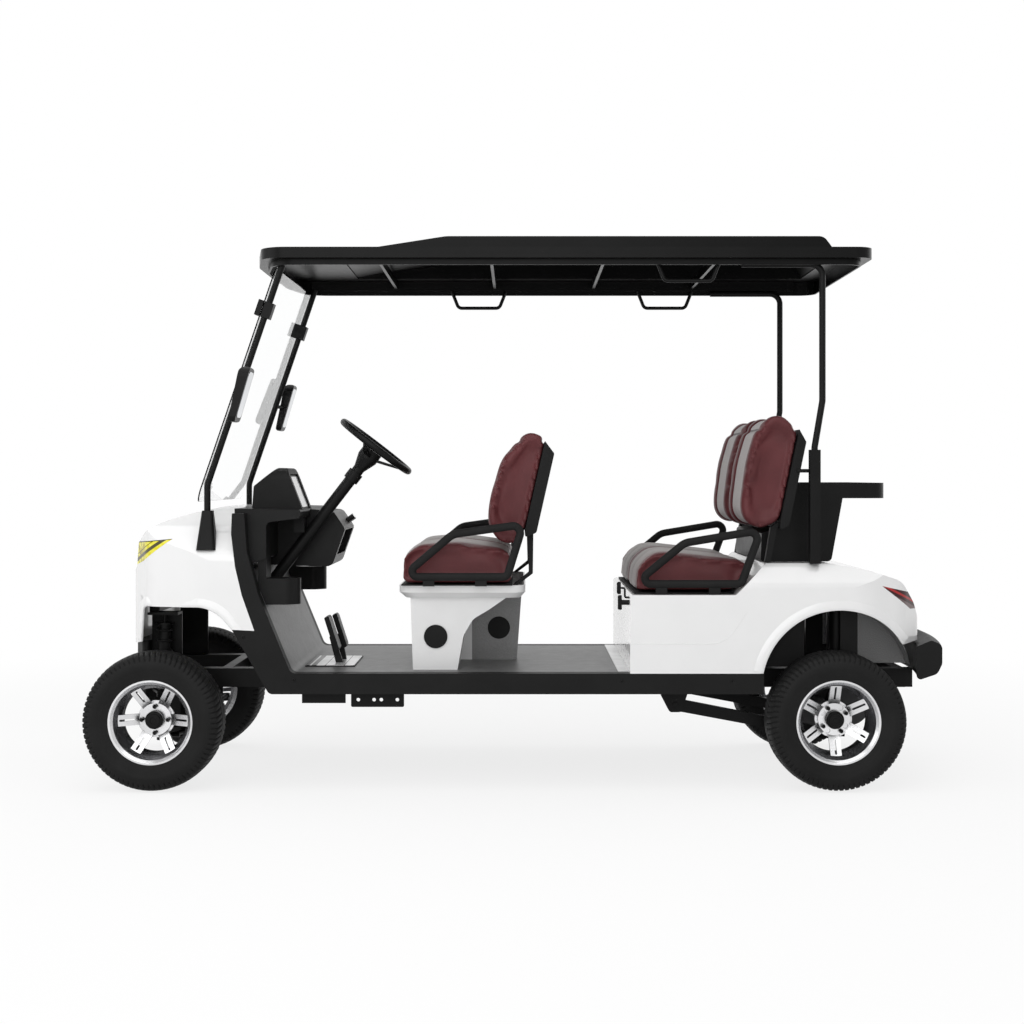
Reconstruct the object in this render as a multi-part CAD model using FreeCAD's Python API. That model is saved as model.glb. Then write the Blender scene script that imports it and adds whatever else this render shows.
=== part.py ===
import FreeCAD, Part
import math
import os

V = FreeCAD.Vector

# Lengths are millimetres. Front is -X, the left side is -Y, up is +Z, and the ground is z = 0.

# Wheels and axles
wheelbase = 2630.0
front_axle_x = -1415.0
rear_axle_x = front_axle_x + wheelbase
wheel_centre_y = 500.0
tyre_radius = 267.0
tyre_width = 210.0
tread_width = 150.0
tyre_wall = 11.0
rim_lip_radius = 162.0
rim_seat_radius = 152.0
rim_well_radius = 132.0
rim_width = 172.0
rim_wall = 7.0
hub_setback = 95.0
hub_thickness = 15.0
hub_face_radius = 62.0
brake_radius = 72.0
spoke_count = 6
spoke_width = 43.0
spoke_thickness = 15.0
slot_width = 8.0
slot_inner_radius = 78.0
slot_outer_radius = 130.0
lug_count = 4
lug_circle = 101.6
lug_pocket_radius = 11.0
lug_pocket_depth = 8.0
hub_boss_radius = 36.0
hub_boss_length = 53.0
stub_radius = 15.0

# Clearances
running_gap = 0.05
seat_gap = 0.3

# Steering and front suspension
kingpin_y = 385.0
kingpin_radius = 8.0
upright_half_height = 75.0
upright_width = 36.0
upright_length = 44.0
spindle_radius = 25.0
eye_radius = 18.0
eye_height = 20.0
steer_arm_length = 120.0
steer_arm_thickness = 12.0
steer_arm_drop = 45.0
rod_radius = 8.0
rod_end_radius = 15.0
rod_end_height = 20.0
rack_radius = 12.0
rack_housing_radius = 24.0
rack_housing_length = 300.0
arm_tube_radius = 11.0
arm_spread = 70.0
arm_root_y = 215.0
coil_y = 325.0
coil_radius = 32.0
coil_bottom_z = 330.0
coil_top_z = 620.0
coil_turns = 7
damper_radius = 15.0
tower_top_z = 660.0
tower_half_length = 60.0

# Body side, floor and sills
body_half_width = 560.0
sill_width = 60.0
sill_wall = 8.0
sill_bottom_z = 373.0
floor_z = 452.0
floor_thickness = 12.0
sill_front_x = -965.0
sill_rear_x = 933.0
toe_top_x = -1045.0
toe_top_z = 850.0

# Frame
rail_y = 250.0
rail_width = 60.0
rail_height = 75.0
rail_front_x = -1520.0
rail_rear_x = 1540.0
cross_size = 40.0
step_plate_thickness = 6.0
step_hole_radius = 7.0
step_hole_z = 344.0

# Front cowl
shell_wall = 8.0
cowl_rear_x = -1107.0
cowl_top_z = 1090.0
nose_x = -1554.0
nose_bottom_z = 544.0
front_arch_top_z = 705.0
bumper_bottom_z = 480.0

# Front posts, glass and mirrors
post_radius = 12.5
front_post_y = 495.0
post_foot_x = -1213.0
boot_depth_z = 925.0
boot_top_z = 1076.0
post_bend_z = 1175.0
post_top_x = -916.0
post_top_z = 2048.0
clamp_size = 62.0
clamp_z = 1854.0
glass_thickness = 5.0
glass_half_width = 520.0
mirror_y = 605.0
mirror_z = 1520.0
mirror_height = 211.0
mirror_width = 120.0
mirror_depth = 50.0

# Roof
roof_front_x = -1050.0
roof_rear_x = 1355.0
roof_half_width = 580.0
roof_lip_z = 2045.0
roof_edge_z = 2086.0
roof_crown_z = 2153.0
roof_pad_height = 12.0
roof_skirt_z = 2022.0
roof_wall = 6.0
crown_half_width = 400.0
roof_rail_y = 516.0
roof_rail_width = 30.0
handle_radius = 7.5
handle_drop = 76.0
handle_length = 243.0

# Rear posts
rear_post_x = 1165.0
rear_post_run_z = 2027.0
rear_post_bend = 45.0
socket_size = 40.0
socket_x = 1135.0
socket_top_z = 1311.0

# Seats
pod_front_x = -431.0
pod_half_width = 430.0
pod_rim_z = 735.0
pod_top_z = 785.0
pod_rim_half_width = 480.0
pod_wall = 6.0
spine_half_width = 70.0
vent_radius = 46.0
pan_thickness = 5.0
cushion_half_width = 500.0
armrest_y = 530.0
armrest_radius = 15.5
armrest_bends = [22.0, 70.0, 28.0, 24.0]
backrest_outer_y = 508.0
backrest_inner_y = 22.0
bracket_width = 30.0
bracket_y = 440.0

# Rear body
rear_body_front_x = 420.0
rear_seat_z = 753.0
deck_z = 872.0
rear_arch_x = 1227.0
rear_arch_z = 392.0
rear_arch_radius = 302.0
rear_body_end_x = 1569.0
well_y = 375.0
well_wall = 4.0

# Drive
axle_tube_radius = 38.0
drive_case_radius = 105.0
drive_case_width = 150.0
motor_radius = 82.0
motor_length = 240.0
trailing_arm_y = 340.0
trailing_arm_width = 30.0
hanger_x = 612.0
hanger_z = 305.0

# Dash
console_half_width = 190.0
cup_x = -905.0
cup_y = 430.0
cup_radius = 38.0
cup_depth = 85.0
cup_top_z = 812.0

# Steering wheel and column
steer_y = -270.0
wheel_hub_x = -579.0
wheel_hub_z = 1328.0
column_lean = 37.6
hand_wheel_radius = 175.0
hand_wheel_grip = 14.0
hand_wheel_dish = 45.0
hand_hub_radius = 42.0
hand_hub_length = 64.7
column_radius = 23.5
column_length = 560.0
steer_shaft_radius = 10.0
steer_shaft_length = 80.0

# Storage box behind the rear seat
storage_half_width = 370.0
storage_wall = 4.0
storage_top_z = 1183.0
storage_band_z = 1122.0
storage_band_x = 1445.0
storage_band_thickness = 8.0


def corner(before, here, after, radius):
    """Start, middle and end of the arc that rounds one corner, no larger than its two runs allow."""
    back = before - here
    ahead = after - here
    room = 0.49 * min(back.Length, ahead.Length)
    back.normalize()
    ahead.normalize()
    half = back.getAngle(ahead) / 2.0
    if half > math.radians(89.5):
        return None
    reach = min(radius / math.tan(half), room)
    radius = reach * math.tan(half)
    start = here + back * reach
    end = here + ahead * reach
    centre = here + (back + ahead).normalize() * (radius / math.sin(half))
    middle = centre + (here - centre).normalize() * radius
    return start, middle, end


def path_edges(points, radii, closed):
    """Straight runs joined by tangent arcs through the points."""
    count = len(points)
    edges = []
    last = None
    first = None
    for i in range(count):
        here = points[i]
        is_end = not closed and i in (0, count - 1)
        start = end = here
        arc = None
        if not is_end and radii[i] > 0:
            rounding = corner(points[i - 1], here, points[(i + 1) % count], radii[i])
            if rounding:
                start, middle, end = rounding
                arc = Part.Arc(start, middle, end).toShape()
        if last is not None and (start - last).Length > 1e-6:
            edges.append(Part.LineSegment(last, start).toShape())
        if first is None:
            first = start
        if arc is not None:
            edges.append(arc)
        last = end
    if closed and (first - last).Length > 1e-6:
        edges.append(Part.LineSegment(last, first).toShape())
    return edges


def face_of(corners, place):
    """Flat face inside an outline of corners (a, b) or (a, b, rounding radius)."""
    points = [place(c[0], c[1]) for c in corners]
    radii = [c[2] if len(c) > 2 else 0 for c in corners]
    return Part.Face(Part.Wire(path_edges(points, radii, True)))


def side_prism(corners, y0, y1):
    """Solid whose outline is drawn in side view (x, z)."""
    return face_of(corners, lambda a, b: V(a, y0, b)).extrude(V(0, y1 - y0, 0))


def plan_prism(corners, z0, z1):
    """Solid whose outline is drawn from above (x, y)."""
    return face_of(corners, lambda a, b: V(a, b, z0)).extrude(V(0, 0, z1 - z0))


def front_prism(corners, x0, x1):
    """Solid whose outline is drawn from the front (y, z)."""
    return face_of(corners, lambda a, b: V(x0, a, b)).extrude(V(x1 - x0, 0, 0))


def box(x0, x1, y0, y1, z0, z1):
    return Part.makeBox(x1 - x0, y1 - y0, z1 - z0, V(x0, y0, z0))


def rod(start, end, radius):
    return Part.makeCylinder(radius, (end - start).Length, start, end - start)


def bent_tube(points, bend, radius):
    """Round bar along straight runs and tangent bends."""
    path = Part.Wire(path_edges(points, [bend] * len(points), False))
    ring = Part.Wire(Part.Circle(points[0], points[1] - points[0], radius).toShape())
    return path.makePipeShell([ring], True, True)


def tube_loop(points, radii, radius):
    """Closed loop of round bar, made as two halves that meet in two straight runs."""
    middle = len(points) // 2
    start = (points[-1] + points[0]) * 0.5
    end = (points[middle - 1] + points[middle]) * 0.5
    halves = []
    for run, bends, a, b in ((points[:middle], radii[:middle], start, end),
                             (points[middle:], radii[middle:], end, start)):
        stops = [a] + run + [b]
        path = Part.Wire(path_edges(stops, [0] + bends + [0], False))
        ring = Part.Wire(Part.Circle(a, stops[1] - a, radius).toShape())
        halves.append(path.makePipeShell([ring], True, True))
    return halves[0].fuse(halves[1])


def turned(profile, centre, axis=V(0, 1, 0)):
    """Solid of revolution about an axis along Y from (radius, along) corners."""
    face = face_of(profile, lambda r, t: centre + V(r, t, 0))
    return face.revolve(centre, axis, 360)


def mirrored(shape):
    return shape.mirror(V(0, 0, 0), V(0, 1, 0))


def both_sides(shape):
    """The left piece and its mirror image on the right, as separate solids."""
    return Part.makeCompound(shape.Solids + mirrored(shape).Solids)


def joined(pieces):
    shape = pieces[0].multiFuse(pieces[1:]) if len(pieces) > 1 else pieces[0]
    return shape.removeSplitter()


def largest(shape):
    return max(shape.Solids, key=lambda solid: solid.Volume)


def save(name, shape):
    solids = shape.Solids
    kept = solids[0] if len(solids) == 1 else Part.makeCompound(solids)
    kept.exportStep("parts/" + name + ".step")


# Wheels: machined alloy rims with six slotted spokes, deeply set back from the lip

def rim_left():
    """Rim about the origin with its outer side towards -Y."""
    half = rim_width / 2.0
    outward = -1.0
    face_t = half - hub_setback
    lip = 7.0
    seat_width = 20.0
    well_half = 34.0
    barrel = [(rim_lip_radius, -half), (rim_lip_radius, -half + lip),
              (rim_seat_radius, -half + lip), (rim_seat_radius, -half + lip + seat_width),
              (rim_well_radius, -well_half), (rim_well_radius, well_half - 20),
              (rim_seat_radius, half - lip - seat_width), (rim_seat_radius, half - lip),
              (rim_lip_radius, half - lip), (rim_lip_radius, half),
              (rim_lip_radius - lip, half), (rim_seat_radius - rim_wall, half - lip - 4),
              (rim_seat_radius - rim_wall, half - lip - seat_width),
              (rim_well_radius - rim_wall, well_half - 20), (rim_well_radius - rim_wall, -well_half),
              (rim_seat_radius - rim_wall, -half + lip + seat_width), (rim_seat_radius - rim_wall, -half)]
    tube = turned([(r, outward * t) for r, t in barrel], V(0, 0, 0))
    spoke_root_r = rim_seat_radius - rim_wall + 1.0
    spoke_rise = 52.0
    dish = [(0, face_t), (hub_face_radius, face_t), (spoke_root_r, face_t + spoke_rise),
            (spoke_root_r, face_t + spoke_rise - spoke_thickness),
            (hub_face_radius + 4, face_t - hub_thickness), (0, face_t - hub_thickness)]
    disc = turned([(r, outward * t) for r, t in dish], V(0, 0, 0))
    deep = 200.0
    ring = Part.makeCylinder(spoke_root_r - 6, deep, V(0, -deep / 2, 0), V(0, 1, 0))
    ring = ring.cut(Part.makeCylinder(hub_face_radius, deep, V(0, -deep / 2, 0), V(0, 1, 0)))
    for i in range(spoke_count):
        bar = box(0, spoke_root_r + 10, -deep / 2, deep / 2, -spoke_width / 2, spoke_width / 2)
        bar.rotate(V(0, 0, 0), V(0, 1, 0), i * 360.0 / spoke_count)
        ring = ring.cut(bar)
    disc = disc.cut(ring)
    for i in range(spoke_count):
        half_slot = slot_width / 2.0
        slot = side_prism([(slot_inner_radius, -half_slot, half_slot * 0.98),
                           (slot_outer_radius, -half_slot, half_slot * 0.98),
                           (slot_outer_radius, half_slot, half_slot * 0.98),
                           (slot_inner_radius, half_slot, half_slot * 0.98)], -deep / 2, deep / 2)
        slot.rotate(V(0, 0, 0), V(0, 1, 0), i * 360.0 / spoke_count)
        disc = disc.cut(slot)
    for i in range(lug_count):
        turn = math.radians(i * 360.0 / lug_count)
        foot = V(lug_circle / 2 * math.cos(turn), outward * (face_t - lug_pocket_depth),
                 lug_circle / 2 * math.sin(turn))
        disc = disc.cut(Part.makeCylinder(lug_pocket_radius, lug_pocket_depth + 5, foot, V(0, outward, 0)))
    drum_front_t = face_t - hub_thickness
    drum = Part.makeCylinder(brake_radius, 12, V(0, outward * drum_front_t, 0), V(0, -outward, 0))
    boss = Part.makeCylinder(hub_boss_radius, hub_boss_length, V(0, outward * face_t, 0), V(0, -outward, 0))
    bore = Part.makeCylinder(stub_radius + running_gap, hub_boss_length,
                             V(0, outward * (face_t - 5), 0), V(0, -outward, 0))
    return joined([tube, disc, drum, boss]).cut(bore)


def tyre_left():
    """Low-profile tyre: outer crown and side walls, open to the rim at its beads."""
    half = tyre_width / 2.0
    bead_half = rim_width / 2.0 - 8.0
    side_radius = 215.0
    outer = [(rim_seat_radius, -bead_half), (rim_lip_radius + 6, -bead_half - 9, 6), (side_radius, -half, 40),
             (tyre_radius - 8, -tread_width / 2 - 14, 22), (tyre_radius, -42, 60),
             (tyre_radius, 42, 60), (tyre_radius - 8, tread_width / 2 + 14, 22),
             (side_radius, half, 40), (rim_lip_radius + 6, bead_half + 9, 6), (rim_seat_radius, bead_half)]
    inner = [(rim_seat_radius, bead_half - 18), (side_radius, half - tyre_wall, 30),
             (tyre_radius - tyre_wall - 3, tread_width / 2 - 4, 25),
             (tyre_radius - tyre_wall - 3, -tread_width / 2 + 4, 25),
             (side_radius, -half + tyre_wall, 30), (rim_seat_radius, -bead_half + 18)]
    return turned(outer + inner, V(0, 0, 0))


def wheel_places():
    """Name, x and side of every wheel; side is -1 on the left."""
    return [("front_left", front_axle_x, -1), ("front_right", front_axle_x, 1),
            ("rear_left", rear_axle_x, -1), ("rear_right", rear_axle_x, 1)]


def at_wheel(shape, x, side, spoke_turn):
    copy = shape.copy()
    copy.rotate(V(0, 0, 0), V(0, 1, 0), spoke_turn)
    if side > 0:
        copy.rotate(V(0, 0, 0), V(0, 0, 1), 180)
    copy.translate(V(x, side * wheel_centre_y, tyre_radius))
    return copy


# Front corner: upright on its kingpin, stub axle and steering arm

hub_back_y = wheel_centre_y + rim_width / 2 - hub_setback - hub_boss_length
steer_arm_z = tyre_radius - steer_arm_drop
rack_x = front_axle_x + steer_arm_length
rack_z = steer_arm_z + steer_arm_thickness + 0.5 + rod_end_height / 2


def knuckle_left():
    y = -kingpin_y
    axle = V(front_axle_x, y, tyre_radius)
    half = upright_half_height
    upright = side_prism([(front_axle_x - upright_length / 2, tyre_radius - half, 10),
                          (front_axle_x + upright_length / 2, tyre_radius - half, 10),
                          (front_axle_x + upright_length / 2, tyre_radius + half, 10),
                          (front_axle_x - upright_length / 2, tyre_radius + half, 10)],
                         y - upright_width / 2, y + upright_width / 2)
    spindle_end = V(front_axle_x, -hub_back_y + seat_gap, tyre_radius)
    spindle = rod(axle, spindle_end, spindle_radius)
    stub = rod(axle, spindle_end + V(0, -hub_boss_length + 8, 0), stub_radius)
    pin = rod(axle - V(0, 0, half + eye_height), axle + V(0, 0, half + eye_height), kingpin_radius)
    z0 = steer_arm_z
    arm_y = y + 6
    arm = plan_prism([(front_axle_x, arm_y - 12), (front_axle_x + steer_arm_length, arm_y - 10, 8),
                      (front_axle_x + steer_arm_length + 15, arm_y, 8),
                      (front_axle_x + steer_arm_length, arm_y + 16, 8), (front_axle_x, arm_y + 12)],
                     z0, z0 + steer_arm_thickness)
    return joined([upright, spindle, stub, pin, arm])


def steering_rack():
    """Rack bar with its two tie rods; each rod end rests over its steering arm."""
    end_y = kingpin_y - 4
    bar = rod(V(rack_x, -rack_housing_length / 2 - 90, rack_z), V(rack_x, rack_housing_length / 2 + 90, rack_z),
              rack_radius)
    rods = rod(V(rack_x, -end_y, rack_z), V(rack_x, end_y, rack_z), rod_radius)
    ends = []
    for y in (-end_y, end_y):
        foot = V(rack_x, y, rack_z - rod_end_height / 2)
        ends.append(Part.makeCylinder(rod_end_radius, rod_end_height, foot))
    return joined([bar, rods] + ends)


def front_suspension():
    """Twin A-arms and coil-over dampers on each side, and the rack's housing between them."""
    lower_z = tyre_radius - upright_half_height - eye_height - seat_gap
    upper_z = tyre_radius + upright_half_height + seat_gap
    pieces = []
    for z0 in (lower_z, upper_z):
        middle_z = z0 + eye_height / 2
        eye_centre = V(front_axle_x, -kingpin_y, z0)
        eye = Part.makeCylinder(eye_radius, eye_height, eye_centre)
        for dx in (-arm_spread, arm_spread):
            root = V(front_axle_x + dx, -arm_root_y, middle_z)
            eye = eye.fuse(rod(root, V(front_axle_x, -kingpin_y, middle_z), arm_tube_radius * 0.85))
            eye = eye.fuse(rod(root - V(22, 0, 0), root + V(22, 0, 0), arm_tube_radius + 4))
        tip = Part.makeCylinder(kingpin_radius + running_gap, eye_height + 2, eye_centre - V(0, 0, 1))
        pieces.append(eye.cut(tip))
    lower = pieces[0]
    seat_z = lower_z + eye_height / 2
    cross = rod(V(front_axle_x - 60, -coil_y, seat_z), V(front_axle_x + 60, -coil_y, seat_z), arm_tube_radius * 0.85)
    foot = V(front_axle_x, -coil_y, seat_z)
    top = V(front_axle_x, -coil_y, tower_top_z)
    damper = rod(foot, top, damper_radius * 0.5)
    body = rod(foot, V(front_axle_x, -coil_y, coil_bottom_z + 90), damper_radius)
    collars = [Part.makeCylinder(coil_radius + 2, 8, V(front_axle_x, -coil_y, z))
               for z in (coil_bottom_z - 8, coil_top_z)]
    pitch = (coil_top_z - coil_bottom_z) / coil_turns
    wire_radius = 5.0
    rings = [Part.makeTorus(coil_radius - wire_radius, wire_radius,
                            V(front_axle_x, -coil_y, coil_bottom_z + (i + 0.5) * pitch))
             for i in range(coil_turns)]
    core = Part.makeCylinder(coil_radius - wire_radius - 3, coil_top_z - coil_bottom_z,
                             V(front_axle_x, -coil_y, coil_bottom_z))
    left = joined([lower, pieces[1], cross, damper, body, core] + collars + rings)
    housing = rod(V(rack_x, -rack_housing_length / 2, rack_z), V(rack_x, rack_housing_length / 2, rack_z),
                  rack_housing_radius)
    plates = [box(rack_x - 30, rack_x + 30, y - 5, y + 5, rack_z - rack_housing_radius, rail_bottom_z)
              for y in (-rack_housing_length / 2 + 20, rack_housing_length / 2 - 20)]
    cross_bar = box(rack_x - 30, rack_x + 30, -rail_y + rail_width / 2, rail_y - rail_width / 2,
                    rail_bottom_z - 8, rail_bottom_z)
    passage = rod(V(rack_x, -rack_housing_length, rack_z), V(rack_x, rack_housing_length, rack_z),
                  rack_radius + running_gap)
    housing = joined([housing, cross_bar] + plates).cut(passage).cut(chassis_solid())
    left = left.cut(chassis_solid())
    return Part.makeCompound(left.Solids + mirrored(left).Solids + housing.Solids)


# Frame: two rails, cross members, shock towers and side brackets

rail_bottom_z = floor_z - floor_thickness - rail_height


def chassis_solid():
    z0 = rail_bottom_z
    z1 = z0 + rail_height
    pieces = []
    for side in (-1, 1):
        y = side * rail_y
        pieces.append(box(rail_front_x, rail_rear_x, y - rail_width / 2, y + rail_width / 2, z0, z1))
        tower_y0 = side * (rail_y + rail_width / 2)
        tower_y1 = tower_y0 - side * 10
        ys = sorted((tower_y0, tower_y1))
        tower_x0 = front_axle_x - tower_half_length
        tower_x1 = front_axle_x + tower_half_length
        pieces.append(box(tower_x0, tower_x1, ys[0], ys[1], z1, tower_top_z + 10))
        outer = side * (coil_y + coil_radius + 4)
        ys = sorted((tower_y1, outer))
        pieces.append(box(tower_x0, tower_x1, ys[0], ys[1], tower_top_z, tower_top_z + 10))
        for x in (front_axle_x - arm_spread, front_axle_x + arm_spread):
            ys = sorted((side * (arm_root_y + 18), side * (arm_root_y - 18)))
            pieces.append(box(x - 26, x + 26, ys[0], ys[1], 160, z0 + 10))
    pieces.append(box(tower_x0, tower_x0 + cross_size, -coil_y, coil_y, tower_top_z + 10, tower_top_z + 35))
    for x in (rail_front_x, -1200.0, -900.0, -650.0, -492.0, 100.0, 560.0, 900.0, 1500.0):
        reach = body_half_width - sill_width if -1000 < x < 920 else rail_y
        pieces.append(box(x, x + cross_size, -reach, reach, z1 - cross_size, z1))
    for side in (-1, 1):
        outer = side * (body_half_width - sill_width)
        ys = sorted((outer, outer - side * step_plate_thickness))
        pieces.append(box(-905, -615, ys[0], ys[1], z1 - cross_size, z1))
        pieces.append(box(-846, -677, ys[0], ys[1], 331, z1 - cross_size + 1))
        bracket = side_prism([(-656, z1 - cross_size + 1), (-656, 316, 6), (-451, 316, 6),
                              (-451, z1 - cross_size + 1)], ys[0], ys[1])
        for x in (-628.0, -567.0, -539.0, -477.0):
            bracket = bracket.cut(rod(V(x, ys[0] - 1, step_hole_z), V(x, ys[1] + 1, step_hole_z),
                                      step_hole_radius))
        pieces.append(bracket)
    return joined(pieces)


def floor_pan():
    t = floor_thickness
    toe_x = -881.0
    mid_x = -1006.0
    mid_z = 756.0
    inner = body_half_width - sill_width
    return side_prism([(sill_rear_x, floor_z), (toe_x, floor_z, 30), (mid_x, mid_z, 60), (toe_top_x, toe_top_z),
                       (toe_top_x - t, toe_top_z), (mid_x - t, mid_z, 60), (toe_x - 5, floor_z - t, 30),
                       (sill_rear_x, floor_z - t)], -inner, inner)


def sill_outline(inset):
    """Sill with its slanted front leg, drawn from the side and drawn in by a wall."""
    i = inset
    return [(sill_rear_x - i, sill_bottom_z + i), (sill_front_x + i, sill_bottom_z + i, 25),
            (-1107 + 1.6 * i, 620 - i), (-1021 - 0.3 * i, 618 - i, 0), (-1069 + i, 752, 60), (-1095 + i, 861, 90),
            (-1110 + i, 989, 60), (-1107 + i, 1066 - i), (-1060 - i, 1066 - i), (-1050 - i, 920, 80),
            (-1006 - i, 756, 80), (-881 - i, floor_z - i, 30), (sill_rear_x - i, floor_z - i)]


def sill_left():
    outer_y = -body_half_width
    inner_y = outer_y + sill_width
    shell = side_prism(sill_outline(0), outer_y, inner_y)
    hollow = side_prism(sill_outline(sill_wall), outer_y + sill_wall, inner_y + 1)
    return shell.cut(hollow)


# Nose: hollow cowl with its arches open

def cowl_side(grow):
    g = grow
    return [(cowl_rear_x + 5 * g, 1066 + g), (cowl_rear_x - 2 + 5 * g, 989, 60), (-1095 + 5 * g, 861, 90),
            (-1069 + 5 * g, 752, 60), (-1021 + 5 * g, 616 + 12 * g), (-1107, 620 + 12 * g),
            (-1156, 676 + 12 * g, 30), (-1215, front_arch_top_z + 12 * g, 40),
            (-1470, front_arch_top_z + 12 * g, 30), (-1483, nose_bottom_z + 17 + 12 * g),
            (-1544 - g, nose_bottom_z + 12 * g, 8), (nose_x - g, 567, 8), (nose_x - g, 795, 10),
            (-1540 - g, 822, 6), (-1517 - g, 856, 12), (-1506 - g, 948, 15), (-1465 - g, 990 + g, 60),
            (-1400, 1031 + g, 200), (-1304, 1062 + g, 200), (-1180, cowl_top_z + g, 100),
            (cowl_rear_x + 5 * g, cowl_top_z + g)]


def cowl_block(grow):
    """The cowl's outer form, or its inner form for a negative growth."""
    g = grow
    w = body_half_width + g
    side = side_prism(cowl_side(g), -w - 5, w + 5)
    plan = plan_prism([(-1000, -w), (-1230, -w, 300), (-1440, -500 - g, 120), (-1530 - g, -330, 90),
                       (nose_x - 6 - g, -120, 300), (nose_x - 6 - g, 120, 300), (-1530 - g, 330, 90),
                       (-1440, 500 + g, 120), (-1230, w, 300), (-1000, w)], 400, 1200)
    front = front_prism([(-w, 400), (w, 400), (w, 905, 60), (470 + g, 1010 + g, 110), (250, 1092 + g, 400),
                         (-250, 1092 + g, 400), (-470 - g, 1010 + g, 110), (-w, 905, 60)], -1700, -900)
    return side.common(plan).common(front)


def headlight_zone(grow):
    g = grow
    corners = [(-1560, 960 + g), (-1506, 952 + g), (-1345 + 2 * g, 967 + g), (-1470, 880 - g), (-1560, 842 - g)]
    return side_prism(corners, -body_half_width - 5, -280 + g)


def cowl_parts():
    outer = cowl_block(0)
    inner = cowl_block(-shell_wall)
    down = inner.copy()
    down.translate(V(0, 0, -2 * shell_wall))
    shell = outer.cut(inner).cut(down)
    deep = cowl_block(-45)
    lens = outer.common(headlight_zone(0)).cut(deep)
    lens = largest(lens)
    shell = shell.cut(headlight_zone(seat_gap)).cut(mirrored(headlight_zone(seat_gap)))
    return outer, largest(shell), lens


def front_bumper(cowl_outer):
    rear_x = front_axle_x - tower_half_length - seat_gap
    half = 333.0
    piece = plan_prism([(rear_x, -half, 10), (-1500, -half, 20), (-1540, -250, 60), (-1558, 0, 500),
                        (-1540, 250, 60), (-1500, half, 20), (rear_x, half, 10)], bumper_bottom_z, nose_bottom_z + 12)
    stays = [box(rail_front_x, rail_front_x + 40, y - rail_width / 2, y + rail_width / 2,
                 rail_bottom_z + rail_height, bumper_bottom_z + 10) for y in (-rail_y, rail_y)]
    return joined([piece] + stays).cut(cowl_outer)


# Dash, display and steering column

def column_axis():
    lean = math.radians(column_lean)
    return V(math.sin(lean), 0, math.cos(lean))


def on_column(t):
    return V(wheel_hub_x, steer_y, wheel_hub_z) + column_axis() * t


def dashboard():
    """Centre console that stands rearwards, recessed sides under a shelf, and a cup tray each side."""
    inner = body_half_width - sill_width
    console = side_prism([(cowl_rear_x, cowl_top_z - 6), (-905, cowl_top_z - 10, 40), (-760, 1068, 30),
                          (-712, 996, 20), (-765, 843, 30), (-1010, toe_top_z), (toe_top_x, toe_top_z),
                          (cowl_rear_x, 950)], -console_half_width, console_half_width)
    sides = side_prism([(cowl_rear_x, cowl_top_z - 6), (-850, cowl_top_z - 12, 8), (-856, 1046, 8),
                        (-985, 1030, 20), (-985, 890, 10), (toe_top_x, 870), (cowl_rear_x, 950)], -inner, inner)
    pocket = box(-820, -600, -console_half_width + 40, console_half_width - 40, 890, 990)
    y = -cup_y
    tray = plan_prism([(-1018, y - 60), (-905, y - 60, 30), (-860, y - 20, 30), (-860, y + 20, 30),
                       (-905, y + 60, 30), (-1018, y + 60)], 711, cup_top_z)
    back = box(-1018, -985, y - 60, y + 60, 780, 895)
    tray = tray.fuse(back).cut(Part.makeCylinder(cup_radius, cup_depth + 10, V(cup_x, y, cup_top_z - cup_depth)))
    knob = rod(V(-745, 60, 1010), V(-700, 60, 1042), 13)
    body = joined([console, sides, tray, mirrored(tray), knob])
    return body.cut(pocket)


def display_housing(dash):
    hood = side_prism([(-1052, 1080), (-1046, 1170, 12), (-957, 1242, 20), (-917, 1241, 10), (-854, 1076),
                       (-903, 1066)], -420, -130)
    rounded = front_prism([(-420, 1050), (-420, 1225, 50), (-360, 1245, 60), (-190, 1245, 60), (-130, 1225, 50),
                           (-130, 1050)], -1100, -800)
    screen = side_prism([(-915, 1215), (-895, 1222), (-840, 1082), (-862, 1078)], -385, -165)
    return hood.common(rounded).cut(screen).cut(dash)


def steering_column():
    top = on_column(-hand_wheel_dish - hand_hub_length - seat_gap)
    tube = rod(top - column_axis() * column_length, top, column_radius)
    collar = rod(top - column_axis() * 60, top - column_axis() * 20, column_radius + 7)
    bore = rod(top - column_axis() * (steer_shaft_length + 10), top + column_axis(),
               steer_shaft_radius + running_gap)
    hanger = box(-905, -862, steer_y - 35, steer_y + 35, 985, 1046)
    return joined([tube, collar, hanger]).cut(bore)


def steering_wheel():
    """Three-spoke wheel dished towards its hub, on a stub shaft that turns in the column."""
    grip = Part.makeTorus(hand_wheel_radius - hand_wheel_grip, hand_wheel_grip)
    hub = Part.makeCylinder(hand_hub_radius, 40, V(0, 0, -hand_wheel_dish - 15))
    neck = Part.makeCone(24, hand_hub_radius, hand_hub_length - 15, V(0, 0, -hand_wheel_dish - hand_hub_length))
    shaft = Part.makeCylinder(steer_shaft_radius, steer_shaft_length + 10,
                              V(0, 0, -hand_wheel_dish - hand_hub_length - steer_shaft_length))
    pieces = [grip, hub, neck, shaft]
    for turn in (0, 100, 260):
        spoke = face_of([(hand_hub_radius - 8, -hand_wheel_dish - 8), (hand_wheel_radius - hand_wheel_grip, -5),
                         (hand_wheel_radius - hand_wheel_grip, 5), (hand_hub_radius - 8, -hand_wheel_dish + 4)],
                        lambda a, b: V(a, -16, b)).extrude(V(0, 32, 0))
        spoke.rotate(V(0, 0, 0), V(0, 0, 1), turn)
        pieces.append(spoke)
    wheel = joined(pieces)
    wheel.rotate(V(0, 0, 0), V(0, 1, 0), column_lean)
    wheel.translate(V(wheel_hub_x, steer_y, wheel_hub_z))
    return wheel


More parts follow.
